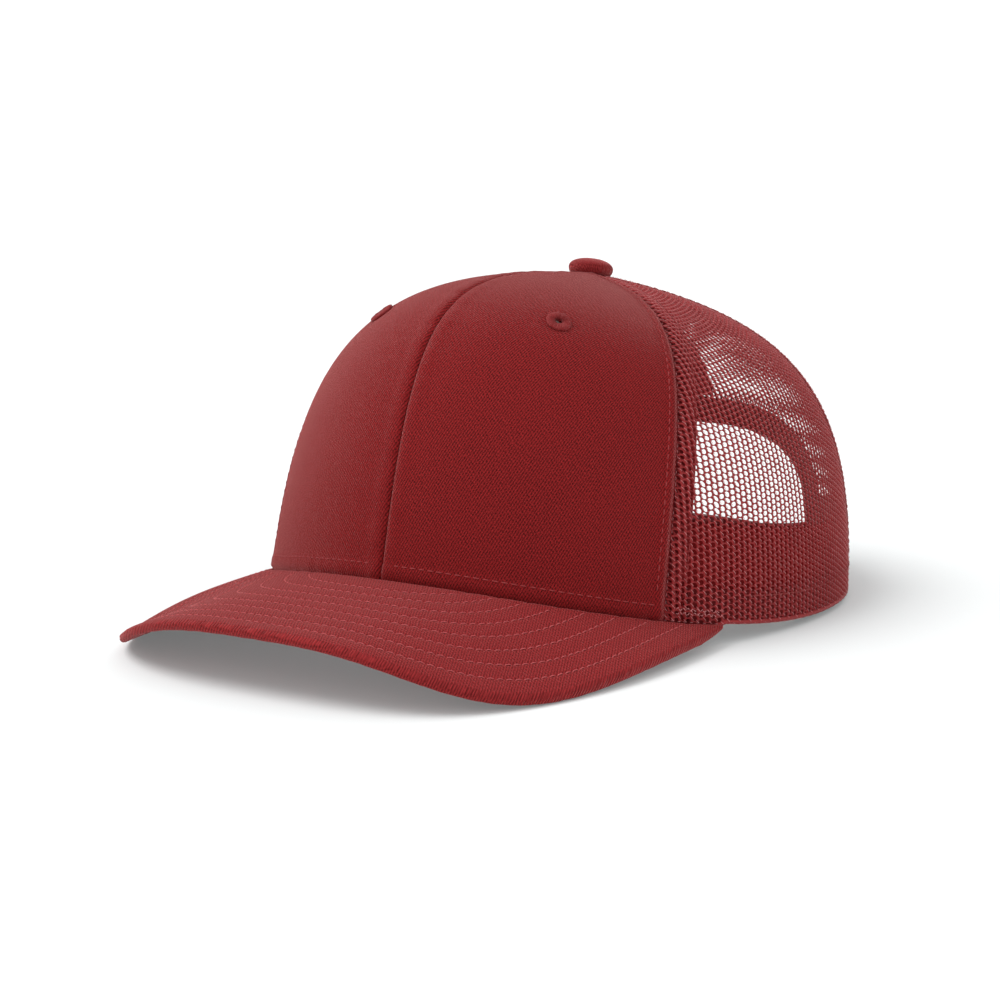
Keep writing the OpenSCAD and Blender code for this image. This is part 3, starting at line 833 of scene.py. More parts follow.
def net_twists(name, flat_centres, panel, limits, depth, sink, seed, mirrored):
    """The thread that crosses each strand of the net, as short raised tubes; its pale pink is a painted
    highlight.
    """
    rng = np.random.default_rng(seed + 2)
    n = len(flat_centres)
    middle = flat_centres - [COLUMN_PITCH / 2, 0] + rng.normal(0, 0.06, (n, 2))
    reach = np.array(TWIST_REACH) * (1 + rng.normal(0, 0.12, (n, 1)))
    rings, sides = 5, 5
    x = np.linspace(-1, 1, rings)
    line = middle[:, None] + reach[:, None] * x[None, :, None]
    line[..., 0] += 0.10 * np.sin(np.pi * x)[None]
    t, u = panel.find(line[..., 0].ravel(), line[..., 1].ravel())
    t, u = limits(t, u)
    rise = 0.14 + 0.32 * (1 - x**2)
    centre = on_crown(t, u, depth + sink(t, u) - np.tile(rise, n)).reshape(n, rings, 3)
    normal = crown_normal(t, u).reshape(n, rings, 3)
    along = unit(np.gradient(centre, axis=1))
    side = unit(np.cross(along, normal))
    turn = np.linspace(0, 2 * np.pi, sides, endpoint=False)
    radius = TWIST_R * (0.5 + 0.5 * (1 - x**2))[None, :, None, None]
    ring = side[:, :, None] * np.cos(turn)[:, None] + normal[:, :, None] * np.sin(turn)[:, None]
    points = (centre[:, :, None] + ring * radius).reshape(-1, 3)
    flat = np.repeat(line.reshape(-1, 2), sides, axis=0)
    return make_mesh(name, points, tube_faces(n, rings, sides), flat, mirrored, 180)


def net_mesh(name, panel, contains, limits, depth, sink, seed, shift=(0.0, 0.0), mirrored=False):
    """Knitted net over part of the crown, as cells with a raised strand round each hole.

    contains(t, u) picks the cells, limits(t, u) holds their edges to the panel, and
    sink(t, u) is how far the net dips toward a seam."""
    columns = int(70 / COLUMN_PITCH)
    rows = int(panel.height / ROW_PITCH) + 2
    centre, edge, ring = hexagons(columns, rows, np.array(shift), seed)
    across, up = centre.T
    inside = (np.abs(across) < panel.span - 3) & (up > -0.5) & (up < panel.height)
    t, u = panel.find(centre[:, 0], centre[:, 1])
    kept = inside & contains(t, u)
    edge, ring, centre = edge[kept], ring[kept], centre[kept]
    n = len(edge)
    flat_edge = edge.reshape(-1, 2)
    key = np.round(flat_edge / 0.05).astype(np.int64)
    _, first, index = np.unique(key[:, 0] * 100000 + key[:, 1], return_index=True, return_inverse=True)
    shared = flat_edge[first]
    rise = np.tile(STRAND_RISE, n)[first]
    rng = np.random.default_rng(seed + 1)
    rise = rise * (1 + rng.normal(0, 0.12, len(rise)))
    shared = shared + rng.normal(0, 0.04, shared.shape)
    flat = np.concatenate([shared, shared, ring.reshape(-1, 2)])
    t, u = panel.find(flat[:, 0], flat[:, 1])
    t, u = limits(t, u)
    lift = np.concatenate([-rise, rise, np.zeros(n * 12)])
    points = on_crown(t, u, depth + lift + sink(t, u))
    m = len(shared)
    index = index.reshape(n, 12)
    k, l = np.arange(12), (np.arange(12) + 1) % 12
    hole = 2 * m + np.arange(n)[:, None] * 12 + k[None]
    hole_next = 2 * m + np.arange(n)[:, None] * 12 + l[None]
    front = np.stack([index[:, k], index[:, l], hole_next, hole], -1).reshape(-1, 4)
    back = np.stack([index[:, k] + m, hole, hole_next, index[:, l] + m], -1).reshape(-1, 4)
    # Close the outer rim of the piece, where a cell has no neighbour
    start, end = index[:, k].ravel(), index[:, l].ravel()
    open_edge = ~np.isin(start * m + end, end * m + start)
    a, b = start[open_edge], end[open_edge]
    rim = np.stack([b, a, a + m, b + m], -1)
    return make_mesh(name, points, [front, back, rim], flat, mirrored, 180), centre


def seam_distance(t, u, seam):
    return np.abs(t - seam) * length_per_degree(t, u)


ALLOWANCE = 5.2
HEM_REACH = 0.8
HEM_DEPTH = 0.72
HEM_HALF = 0.5


def net_panel(name, side, panel, left, right, foot, node, mats, seed):
    """One net panel with its turned-under seam allowances as a second, denser layer."""
    mirrored = side == "right"

    def limits(t, u):
        u = np.clip(u, 0, TOP_U)
        t = np.clip(t, left(u) + SEAM_GAP, right(u) - SEAM_GAP)
        low = foot(t)
        return t, np.clip(u, low, TOP_U)

    def contains(t, u):
        return (t > left(u)) & (t < right(u)) & (u > foot(t)) & (u < TOP_U)

    def edge_distance(t, u):
        return np.minimum(seam_distance(t, u, left(u)), seam_distance(t, u, right(u)))

    def sink(t, u):
        d = edge_distance(t, u)
        return 0.5 * bump(d, 0, 0.8) - 0.45 * smooth(d / 1.5) * smooth((ALLOWANCE + 0.6 - d) / 1.6)

    def allowance(t, u):
        return contains(t, u) & (edge_distance(t, u) < ALLOWANCE)

    ob, cells = net_mesh(
        f"net_{name}_{side}", panel, contains, limits, MESH_DEPTH, sink, seed, mirrored=mirrored
    )
    place(ob, "cap", "mesh_net", mats["net"], node)
    # The twists take the pale yarn whose colour is a painted highlight.
    ob = net_twists(f"net_twists_{name}_{side}", cells, panel, limits, MESH_DEPTH, sink, seed, mirrored)
    place(ob, "cap", "mesh_net", mats["gleam"])
    ob, _ = net_mesh(
        f"net_allowance_{name}_{side}", panel, allowance, limits, MESH_DEPTH + 0.65, sink, seed + 9,
        (1.0, 0.55), mirrored,
    )
    place(ob, "cap", "mesh_net", mats["net"])


def net_panels(mats):
    side_middle = lambda u: (front_seam(u) + back_seam(u)) / 2
    side_flat = FlatPanel(side_middle, -0.02)
    back_flat = FlatPanel(lambda u: BACK_MIDDLE + 0 * u, -0.02)
    for k, side in enumerate(("left", "right")):
        net_panel(
            "side", side, side_flat, front_seam, back_seam, u_bottom,
            f"side_mesh_{side}", mats, SEED + 100 * k,
        )
        net_panel(
            "back", side, back_flat, back_seam, lambda u: 180 + 0 * u, arch_foot,
            f"back_mesh_{side}", mats, SEED + 50 + 100 * k,
        )


def net_hems(mats):
    """The smooth rolled lower edge of the mesh on each side."""
    t = np.linspace(FRONT_SEAM_ANGLE + 0.3, 180 - ARCH_HALF_ANGLE, 170)[:, None]
    turn = np.linspace(0, 2 * np.pi, 10, endpoint=False)[None, :]
    u = u_at(t, HEM_REACH * 0.8) + u_bottom(t) + u_at(t, HEM_REACH) * 0.8 * np.sin(turn)
    grid = on_crown(t + 0 * turn, u, HEM_DEPTH - HEM_HALF * np.cos(turn))
    columns, rows = grid.shape[:2]
    i, j = np.meshgrid(np.arange(columns - 1), np.arange(rows), indexing="ij")
    a, b = (i * rows + j).ravel(), (i * rows + (j + 1) % rows).ravel()
    tube = np.stack([b, b + rows, a + rows, a], -1)
    ends = np.stack([np.arange(rows), (columns - 1) * rows + np.arange(rows)[::-1]])
    cloth = np.stack(np.broadcast_arrays(run(grid, 0), turn * 1.2), -1)
    for side in ("left", "right"):
        ob = make_mesh(f"net_hem_{side}", grid, [tube, ends], cloth, side == "right", 60)
        place(ob, "cap", "mesh_net", mats["net"])


def bar_tacks(mats):
    """The tight zigzag of thread that fixes the mesh to the visor's ends."""
    t = np.linspace(FRONT_SEAM_ANGLE + 1.5, FRONT_SEAM_ANGLE + 11.5, 120)
    rows = []
    for h, phase in ((2.4, 0.0), (3.6, 2.0)):
        wave = 0.35 * np.sin(run(crown(t, 0 * t), 0) * 3.7 + phase)
        rows.append(crown_path(t, u_at(t, h + wave), -0.05))
    # The bar tacks take the same pale yarn, whose colour is a painted highlight.
    sew(
        "stitches_bar_tacks", rows, mats["gleam"],
        pitch=1.6, length=1.2, radius=0.12, rise=0.3, mirror_too=True,
    )


# ---------------------------------------------------------------- tapes, bindings, sweatband

SEAM_STITCH_PITCH = 2.9
TAPE_ROW = 6.0
SEAM_ROW_TOP_U = 0.92
OUTSIDE_ROW_DEPTH = 0.2
INSIDE_ROW_LIFT = 0.02
BINDING_ROW = 1.6
BINDING_ROW_DEPTH = 0.22
SWEATBAND_DROP_FROM = 70
SWEATBAND_DROP_OVER = 30
SWEATBAND_ROW = 3.2


def tape(name, node, seam, low, depth, mats, mirrored=False):
    b = np.linspace(0, 1, 90)[:, None]
    a = np.linspace(-1, 1, 13)[None, :]
    u = mix(low, TAPE_TOP_U, b)
    radius = np.linalg.norm((crown(seam(u), u) - [0, APEX_BACK, 0])[..., :2], axis=-1)
    spread = np.minimum(np.degrees(TAPE_W / 2 / radius), 14)
    t = seam(u) + a * spread
    u = u + 0 * a
    fold = 0.12 * (bump(np.abs(a), 0.82, 0.08) + 0 * b)
    outer = on_crown(t, u, depth + fold)
    inner = on_crown(t, u, depth + FABRIC_T - fold * 0.5)
    outer, inner = soft_strip(outer, inner)
    cloth = np.stack([run(outer, 1), run(outer, 0)], -1)
    ob = shell(name, outer[:, ::-1], inner[:, ::-1], None, cloth[:, ::-1], mirrored)
    place(ob, "cap", "seam_tape", mats["tape"], node)


def tapes(mats):
    foot = lambda t: float(u_at(t, TAPE_FOOT))
    tape("tape_centre_front", "centre_front_tape", lambda u: 0 * u, foot(0), FRONT_TAPE_DEPTH, mats)
    for side in ("left", "right"):
        mirrored = side == "right"
        tape(
            f"tape_front_side_{side}", f"front_side_tape_{side}", front_seam,
            foot(FRONT_SEAM_ANGLE), FRONT_TAPE_DEPTH, mats, mirrored,
        )
        tape(
            f"tape_side_back_{side}", f"side_back_tape_{side}", back_seam,
            foot(BACK_SEAM_ANGLE), MESH_TAPE_DEPTH, mats, mirrored,
        )
    low = float(u_at(180.0, ARCH_HEIGHT + ARCH_BINDING_W + 1))
    tape("tape_centre_back", "centre_back_tape", lambda u: 180 + 0 * u, low, MESH_TAPE_DEPTH, mats)


def tape_stitches(mats):
    """Two rows beside each seam of the mesh, outside, and along the tapes inside."""
    outside, inside = [], []
    mesh_inside = MESH_TAPE_DEPTH + FABRIC_T + INSIDE_ROW_LIFT
    front_inside = FRONT_TAPE_DEPTH + FABRIC_T + INSIDE_ROW_LIFT
    for seam, low_t, inside_depth in (
        (front_seam, FRONT_SEAM_ANGLE, front_inside),
        (back_seam, BACK_SEAM_ANGLE, mesh_inside),
    ):
        u = np.linspace(float(u_at(low_t, 9.0)), SEAM_ROW_TOP_U, 150)
        for way in (-1, 1):
            t = seam(u) + way * degrees_for(seam(u), u, TAPE_ROW)
            if seam is back_seam or way > 0:
                outside.append(crown_path(t, u, OUTSIDE_ROW_DEPTH))
            inside.append(crown_path(t, u, inside_depth, True))

    def straight_row(middle, low, count, way):
        u = np.linspace(float(u_at(middle, low)), SEAM_ROW_TOP_U, count)
        return middle + way * degrees_for(middle + 0 * u, u, TAPE_ROW), u

    outside.append(crown_path(*straight_row(180.0, ARCH_HEIGHT + 2, 110, -1), OUTSIDE_ROW_DEPTH))
    back_row = straight_row(180.0, ARCH_HEIGHT + ARCH_BINDING_W + 2, 100, -1)
    inside.append(crown_path(*back_row, mesh_inside, True))
    inside.append(crown_path(*straight_row(0.0, TAPE_FOOT + 1, 120, 1), front_inside, True))
    thread = {"pitch": SEAM_STITCH_PITCH, "mirror_too": True}
    sew("stitches_mesh_seams", outside, mats["thread"], length=2.3, radius=0.19, **thread)
    sew("stitches_tapes_inside", inside, mats["thread"], length=2.2, radius=0.2, **thread)


def rim_binding(side, mats):
    last = 180 - ARCH_HALF_ANGLE - math.degrees(ARCH_BINDING_W / REAR_REACH) - 0.6
    t = np.linspace(VISOR_END_ANGLE - 7, last, 120)[:, None]
    b = np.linspace(0, 1, 9)[None, :]
    u = mix(u_bottom(t), u_at(t, RIM_BINDING_H), b)
    t = t + 0 * b
    ripple = 0.05 * wrinkle(run(crown(t, u), 0), 11.0, SEED + 3) * smooth(b * 3) * smooth((1 - b) * 3)
    strip(
        f"binding_rim_{side}", *layers(t, u, MESH_TAPE_DEPTH + ripple), "binding", mats["binding"],
        f"rim_binding_{side}", crosswise=True, mirrored=side == "right",
    )


def arch_binding(mats):
    turn = np.linspace(180, 0, 150)[:, None]
    b = np.linspace(1, 0, 9)[None, :]
    t, u = arch_at(turn, ARCH_BINDING_W * b)
    base = crown(t, u)
    ripple = 0.06 * wrinkle(run(base, 0), 9.0, SEED + 4) * smooth(b * 3) * smooth((1 - b) * 3)
    faces = layers(t, u, MESH_TAPE_DEPTH + ripple)
    strip("binding_arch", *faces, "binding", mats["binding"], "arch_binding", crosswise=True)


def binding_stitches(mats):
    inside = MESH_TAPE_DEPTH + FABRIC_T + INSIDE_ROW_LIFT
    t = np.linspace(VISOR_END_ANGLE + 3, 180 - ARCH_HALF_ANGLE - 7, 120)
    u = u_at(t, RIM_BINDING_H - BINDING_ROW)
    rim = [crown_path(t, u, BINDING_ROW_DEPTH), crown_path(t, u, inside, True)]
    arch = []
    turn = np.linspace(3, 177, 240)
    for w in (2.0, ARCH_BINDING_W - BINDING_ROW):
        t, u = arch_at(turn, w)
        arch += [crown_path(t, u, inside, True), crown_path(t, u, BINDING_ROW_DEPTH)]
    thread = {"pitch": SEAM_STITCH_PITCH, "length": 2.2, "radius": 0.19}
    sew("stitches_rim_binding", rim, mats["thread"], mirror_too=True, **thread)
    sew("stitches_arch_binding", arch, mats["thread"], **thread)


def sweatband_top(t):
    """Share of its full height that the sweatband keeps: its top comes down toward the back."""
    lowered = smooth((np.abs(t) - SWEATBAND_DROP_FROM) / SWEATBAND_DROP_OVER)
    return 1 - SWEATBAND_DROP / SWEATBAND_H * lowered


def sweatband(mats):
    t = np.linspace(-SWEATBAND_END, SWEATBAND_END, 320)[:, None]
    top = SWEATBAND_H - np.array([1.0, 0.4, 0.0])
    h = np.concatenate([[0.4, 0.7, 1.2], np.linspace(2, SWEATBAND_H - 2, 22), top])[None, :]
    u = u_at(t, h * sweatband_top(t))
    t, h = t + 0 * h, h + 0 * t
    along = run(crown(t, u), 0)
    sag = 0.22 * wrinkle(along, 26.0, SEED + 5) * np.sin(np.pi * h / SWEATBAND_H)
    roll = 0.35 * bump(h, SWEATBAND_H - 1.0, 1.6) + 0.25 * bump(h, 1.0, 1.4)
    sunk = 0.18 * bump(h, SWEATBAND_H - SWEATBAND_ROW, 0.7) + 0.18 * bump(h, 3.4, 0.7)
    outer = on_crown(t, u, SWEATBAND_DEPTH + 0.02 * sag)
    padded = FABRIC_T + 0.3 + roll + np.maximum(sag, -0.1) * 0.5 - sunk
    inner = on_crown(t, u, SWEATBAND_DEPTH + padded)
    outer, inner = soft_strip(outer, inner, 0.7)
    cloth = np.stack([run(outer, 0), run(outer, 1)], -1)
    ob = shell("sweatband_cloth", outer, inner, None, cloth, False, 60)
    place(ob, "cap", "sweatband", mats["band"], "sweatband")
    t = np.linspace(-SWEATBAND_END + 1.2, SWEATBAND_END - 1.2, 400)
    inside = SWEATBAND_DEPTH + FABRIC_T
    rows = [
        crown_path(t, u_at(t, h * sweatband_top(t)), inside + 0.12, True)
        for h in (3.4, SWEATBAND_H - SWEATBAND_ROW)
    ]
    for end in (-1, 1):
        t = end * (SWEATBAND_END - 1.6) + np.zeros(30)
        u = u_at(t, np.linspace(2.5, SWEATBAND_H - SWEATBAND_DROP - 2, 30))
        rows.append(crown_path(t, u, inside + 0.15, True))
    sew("stitches_sweatband", rows, mats["thread"], pitch=3.0, length=2.3, rise=0.25)


def padding(mats):
    end = SWEATBAND_END - 1
    t = np.linspace(-end, end, 200)[:, None]
    h = np.linspace(1.5, SWEATBAND_H - 1.5, 14)[None, :]
    u = u_at(t, h * sweatband_top(t))
    t = t + 0 * h
    along = run(crown(t, u), 0)
    soft = 0.06 * wrinkle(along, 7.0, SEED + 6)
    outer = on_crown(t, u, PADDING_DEPTH + soft)
    inner = on_crown(t, u, PADDING_DEPTH + PADDING_T + soft * 0.5)
    ob = strip("sweatband_foam", outer, inner, "padding", mats["padding"], "sweatband_padding", 0.6)


# ---------------------------------------------------------------- visor

VISOR_ROWS = 8
VISOR_ROW_STEP = 6.0
VISOR_ROW_FIRST = 6.2
VISOR_LIP = 2.4
EDGE_R = 1.25
EDGE_SWELL = 0.45
VISOR_THINS = 7.0
VISOR_TAB_H = 9.5


def visor_end():
    return crown(VISOR_END_ANGLE, 0.0)


def visor_dip():
    total = VISOR_TIP_Z + visor_end()[2] - 2 * VISOR_T
    difference = VISOR_TIP_Z - visor_end()[2]
    return (total + math.sqrt(total**2 - difference**2)) / 4


def visor_rim(turn):
    s, c = np.sin(np.radians(turn)), np.cos(np.radians(turn))
    q = VISOR_SQUARENESS
    rho = (np.abs(s) ** q + np.abs(c) ** q) ** (1 / q)
    side = (np.abs(s) / rho) ** q
    end = visor_end()
    z = VISOR_TIP_Z * (1 - side) + end[2] * side - visor_dip() * 4 * side * (1 - side)
    return np.stack([end[0] * s / rho, end[1] - VISOR_LENGTH * c / rho, z], -1)


def visor_point(turn, share, depth, inward):
    turn, share, depth, inward = np.broadcast_arrays(turn, share, depth, inward)
    # The last of the visor thins to an edge, where it leaves the crown
    thin = np.sqrt(np.clip((VISOR_TURN + 0.3 - np.abs(turn)) / VISOR_THINS, 0, 1))
    depth, inward = depth * thin, inward * thin
    t = VISOR_END_ANGLE * turn / 90
    root = on_crown(t, u_below(t, depth), -0.3 + 0 * t)
    tip = visor_rim(turn)
    tip = tip - np.stack([0 * depth, 0 * depth, depth], -1)
    span = np.linalg.norm(tip - root, axis=-1)
    s = share * (1 - inward / span)
    return root + (tip - root) * s[..., None]


ROW_SOFTNESS = 0.16


def outline_distance(points):
    """Distance from the visor's outline, seen from above, with its corners rounded inward."""
    line = visor_rim(np.linspace(-90, 90, 361))[:, :2]
    tails = [
        line[k] + unit(line[k] - line[k + step]) * np.arange(1, 50)[:, None]
        for k, step in ((0, 1), (-1, -1))
    ]
    line = np.concatenate([tails[0][::-1], line, tails[1]])
    step = np.gradient(run(line, 0))
    flat = points.reshape(-1, 3)[:, :2]
    total = np.zeros(len(flat))
    for start in range(0, len(line), 60):
        part = slice(start, start + 60)
        away = np.linalg.norm(flat[:, None] - line[None, part], axis=-1)
        total += (np.exp(-ROW_SOFTNESS * away) * step[None, part]).sum(1)
    # The same sum beside a long straight line gives the distance back
    known = np.linspace(0, 90, 181)
    x = np.linspace(-120, 120, 2401)
    level = np.exp(-ROW_SOFTNESS * np.hypot(known[:, None], x[None])).sum(1) * (x[1] - x[0])
    found = np.interp(-np.log(total), -np.log(level), known)
    return found.reshape(points.shape[:-1])


def visor_columns(count):
    """Turns spaced evenly along the outline."""
    fine = np.linspace(-VISOR_TURN, VISOR_TURN, 2000)
    s = run(visor_rim(fine), 0)
    return np.interp(np.linspace(0, s[-1], count), s, fine)


def row_relief(distance, along):
    """Grooves under the stitch rows and the slight fullness between them."""
    out = np.zeros_like(distance)
    pull = 0.88 + 0.12 * np.cos(2 * np.pi * along / STITCH_PITCH)
    for k in range(VISOR_ROWS):
        at = VISOR_ROW_FIRST + k * VISOR_ROW_STEP
        full = 0.04 * bump(distance, at + VISOR_ROW_STEP / 2, 1.6)
        out += 0.20 * bump(distance, at, 0.50) * pull - full
    return out


def visor_top(mats):
    turn = visor_columns(250)[:, None]
    shares_top = np.linspace(0, 1, 100)
    top = [(s, 0.0, EDGE_R, 1.0, 0.0) for s in shares_top]
    arc = [
        (1.0, EDGE_R * (1 - math.cos(a)), EDGE_R * (1 - math.sin(a)), math.cos(a), math.sin(a))
        for a in np.linspace(0, math.pi / 2, 6)[1:]
    ]
    under = [
        (1.0, VISOR_T - EDGE_R * (1 - math.sin(a)), EDGE_R * (1 - math.cos(a)), -math.sin(a), math.cos(a))
        for a in np.linspace(0, math.pi / 2, 6)
    ]
    lip = [(1.0, VISOR_T, x, -1.0, 0.0) for x in (1.8, VISOR_LIP - 0.15, VISOR_LIP)]
    section = np.array(top + arc + under + lip)
    share, depth, inward, turn_down, turn_in = section.T[:, None, :]
    # Roll the last millimetre of the lip in toward the under cover
    last = np.zeros(len(section))
    last[-1] = 0.3
    depth = depth - last[None]
    base = visor_point(turn, share, depth, inward)
    distance = outline_distance(base)
    along = run(base, 0)
    relief = row_relief(distance, along)
    on_top = np.zeros(len(section))
    on_top[: len(top)] = 1
    edge_ripple = 0.05 * wrinkle(along, 5.0, SEED + 8) * (1 - on_top)[None]
    from_root = share * np.linalg.norm(base[:, len(top) - 1] - base[:, 0], axis=-1)[:, None]
    sunk = relief * on_top[None] * smooth(distance / 3.0) + edge_ripple
    sunk = sunk + 0.4 * bump(from_root, 0, 0.6) * on_top[None]
    rise = 0.12 * bump(distance, VISOR_T, 2.0) * on_top[None]
    proud = np.abs(turn_down * turn_in + (depth > 0.5))
    inward = inward - EDGE_SWELL * smooth(1 - inward / EDGE_R) * proud
    outer = visor_point(turn, share, depth + sunk - rise, inward)
    inner = visor_point(turn, share, depth + FABRIC_T * turn_down, inward + FABRIC_T * turn_in)
    cloth = np.stack([base[..., 0], base[..., 1] - base[..., 2]], -1)
    ob = shell("twill_visor_top", outer[:, ::-1], inner[:, ::-1], None, cloth[:, ::-1], False, 60)
    place(ob, "cap", "cotton_twill", mats["visor"], "visor_top_cover")


def visor_under(mats):
    turn = visor_columns(200)[1:-1, None]
    share = np.linspace(0, 1, 80)[None, :]
    base = visor_point(turn, share, VISOR_T, VISOR_LIP + 0.25)
    distance = outline_distance(base)
    relief = row_relief(distance, run(base, 0))
    outer = visor_point(turn, share, VISOR_T - relief * 0.8, VISOR_LIP + 0.25)
    inner = visor_point(turn, share, VISOR_T - FABRIC_T - relief * 0.4, VISOR_LIP + 0.25)
    cloth = np.stack([base[..., 0], base[..., 1]], -1)
    ob = shell("twill_visor_under", outer, inner, None, cloth, False, 60)
    place(ob, "cap", "cotton_twill", mats["under"], "visor_under_cover")


def visor_row_path(distance_wanted, grid, d, up):
    """The line at one distance from the outline, where it lies on the visor."""
    points = []
    for column, far in zip(grid, d):
        if far[0] < distance_wanted + 0.3 or far.min() > distance_wanted:
            continue
        order = np.argsort(far)
        points.append([np.interp(distance_wanted, far[order], column[order, k]) for k in range(3)])
    points = np.array(points)
    if len(points) < 8:
        return None
    tangent = unit(np.gradient(points, axis=0))
    side = unit(np.cross(tangent, [0, 0, 1.0]))
    slope = unit(np.cross(side, tangent))
    normal = slope * np.sign(slope[:, 2:3] + 1e-9)
    normal = unit(mix(normal, np.array([0, 0, 1.0]), 0.15))
    return points, normal if up else -normal


def visor_stitches(mats):
    # The top rows take the visor thread that is paler than the cloth, as painted highlight.
    for face, depth, material, radius, rise in (
        ("top", 0.1, mats["visor_thread_painted_highlight"], 0.19, 0.15),
        ("under", VISOR_T - 0.1, mats["thread"], 0.17, 0.08),
    ):
        grid = visor_point(visor_columns(300)[:, None], np.linspace(0, 1, 90)[None, :], depth, 0.0)
        distance = outline_distance(grid)
        rows = []
        for k in range(VISOR_ROWS):
            at = VISOR_ROW_FIRST + k * VISOR_ROW_STEP
            path = visor_row_path(at, grid, distance, face == "top")
            if path is not None:
                rows.append(path)
        thread = {"pitch": STITCH_PITCH, "length": 2.2, "radius": radius, "rise": rise}
        sew(f"stitches_visor_{face}", rows, material, **thread)


def visor_tab(mats):
    t = np.linspace(2 - VISOR_END_ANGLE, VISOR_END_ANGLE - 2, 150)[:, None]
    b = np.linspace(0, 1, 8)[None, :]
    u = mix(u_bottom(t), u_at(t, VISOR_TAB_H), b)
    t = t + 0 * b
    ripple = 0.05 * wrinkle(run(crown(t, u), 0), 6.0, SEED + 9)
    faces = layers(t, u, FRONT_TAPE_DEPTH + ripple)
    strip("visor_seam_allowance", *faces, "cotton_twill", mats["under"], "visor_seam_tab")


# ---------------------------------------------------------------- button and eyelets

BUTTON_D = 14.6
BUTTON_H = 4.6
BUTTON_TILT = 12.0
BUTTON_SIDES = 132


def lathe(profile, segments, shape=None):
    """Points and quads turned from (radius, height, ...); shape(points, turn) may change them."""
    turn = np.linspace(0, 2 * np.pi, segments, endpoint=False)[:, None]
    radius, height = np.array(profile).T[:2]
    points = np.stack([radius * np.cos(turn), radius * np.sin(turn), height + 0 * turn], -1)
    if shape is not None:
        points = shape(points, turn)
    rows = len(profile)
    i, j = np.meshgrid(np.arange(segments), np.arange(rows), indexing="ij")
    a = (i * rows + j).ravel()
    b = (((i + 1) % segments) * rows + j).ravel()
    c = (((i + 1) % segments) * rows + (j + 1) % rows).ravel()
    d = (i * rows + (j + 1) % rows).ravel()
    return points, np.stack([a, b, c, d], -1)


def open_lathe(quads, rows, segments):
    """The faces of a turned form whose profile is open: its walls, its first and its last ring."""
    ends = np.arange(segments) * rows
    walls = quads[np.arange(len(quads)) % rows != rows - 1]
    return [walls, ends[::-1][None], (ends + rows - 1)[None]]


def button(mats):
    """The covered button: a dome of twill gathered round its edge."""
    edge = BUTTON_D / 2
    widest, foot = 1.6, -1.2
    profile = []
    for a in np.linspace(0.03, math.pi / 2, 26):
        r = edge * math.sin(a) ** 0.86
        profile.append((r, widest + (BUTTON_H - widest) * math.cos(a) ** 0.95, edge * a / 1.3))
    for a in np.linspace(0, math.pi / 2, 9)[1:]:
        r = edge - 1.9 * (1 - math.cos(a))
        profile.append((r, mix(widest, foot, math.sin(a)), edge * 1.2 + a * 2))
    for r, z in ((edge - 2.0, 0.3), (edge - 1.6, 1.5), (3.5, 3.5), (0.15, 3.9)):
        profile.append((r, z, r))

    def gathers(points, turn):
        r = np.linalg.norm(points[..., :2], axis=-1)
        near = smooth((r - 0.7 * edge) / (0.3 * edge)) * smooth((2.6 - points[..., 2]) / 1.6)
        fold = np.cos(26 * turn + 0.6 * np.sin(3 * turn)) * 0.10 + np.cos(11 * turn) * 0.07
        scale = 1 + near * fold * 0.18 / 2
        out = points.copy()
        out[..., 0] *= scale
        out[..., 1] *= scale
        out[..., 2] += near * fold * 0.3
        return out

    points, quads = lathe(profile, BUTTON_SIDES, gathers)
    faces = [part[:, ::-1] for part in open_lathe(quads, len(profile), BUTTON_SIDES)]
    radius, _, along = np.array(profile).T
    cloth = points[..., :2] * (along / np.maximum(radius, 0.01))[None, :, None]
    a = math.radians(-BUTTON_TILT)
    turned = points.copy()
    turned[..., 1] = points[..., 1] * math.cos(a) - points[..., 2] * math.sin(a) + APEX_BACK
    turned[..., 2] = points[..., 1] * math.sin(a) + points[..., 2] * math.cos(a) + CROWN_HEIGHT
    ob = make_mesh("twill_button_painted_highlight", turned, faces, cloth, crease=60)
    place(ob, "cap", "cotton_twill", mats["button"], "button_cover")


def eyelet(side, mats):
    """A ring of buttonhole stitches: radial threads over a raised cord."""
    threads, per_thread = 40, 5
    segments = threads * per_thread
    inner_r, outer_r = EYELET_HOLE_R, EYELET_R
    middle, half = (inner_r + outer_r) / 2, (outer_r - inner_r) / 2
    rng = np.random.default_rng(SEED + 30)
    profile = []
    for a in np.linspace(0, math.pi, 13):
        profile.append((middle + half * math.cos(a), 0.05 + 0.8 * math.sin(a) ** 0.8, a * half))
    profile += [(inner_r + 0.3, -0.9, 0.0), (outer_r - 0.5, -0.9, 0.0)]

    def ridges(points, turn):
        r = np.linalg.norm(points[..., :2], axis=-1)
        phase = turn * threads / 2
        rib = np.abs(np.cos(phase)) ** 0.7
        uneven = np.repeat(rng.normal(0, 0.10, threads), per_thread)[:, None]
        length = np.repeat(rng.normal(0, 0.12, threads), per_thread)[:, None]
        top = smooth((points[..., 2] + 0.2) / 0.5)
        out = points.copy()
        out[..., 2] += top * (0.26 * rib - 0.16 + uneven * 0.5)
        swell = 1 + (r > middle) * top * length / outer_r
        out[..., :2] *= swell[..., None]
        return out

    points, quads = lathe(profile, segments, ridges)
    normal = crown_normal(*EYELET_AT)
    at = crown(*EYELET_AT)
    side_dir = unit(np.cross([0, 0, 1.0], normal))
    up_dir = np.cross(normal, side_dir)
    local = points.reshape(-1, 3)
    world = at + local[:, :1] * side_dir + local[:, 1:2] * up_dir + local[:, 2:3] * normal
    turn = np.linspace(0, 2 * np.pi, segments, endpoint=False)[:, None]
    cloth = np.stack(np.broadcast_arrays(turn * 3.0, np.array(profile)[None, :, 2]), -1)
    ob = make_mesh(f"eyelet_threads_{side}", world, [quads[:, ::-1]], cloth, side == "right", 70)
    place(ob, "cap", "eyelet_thread", mats["eyelet"], f"eyelet_{side}")


# ---------------------------------------------------------------- snap strap

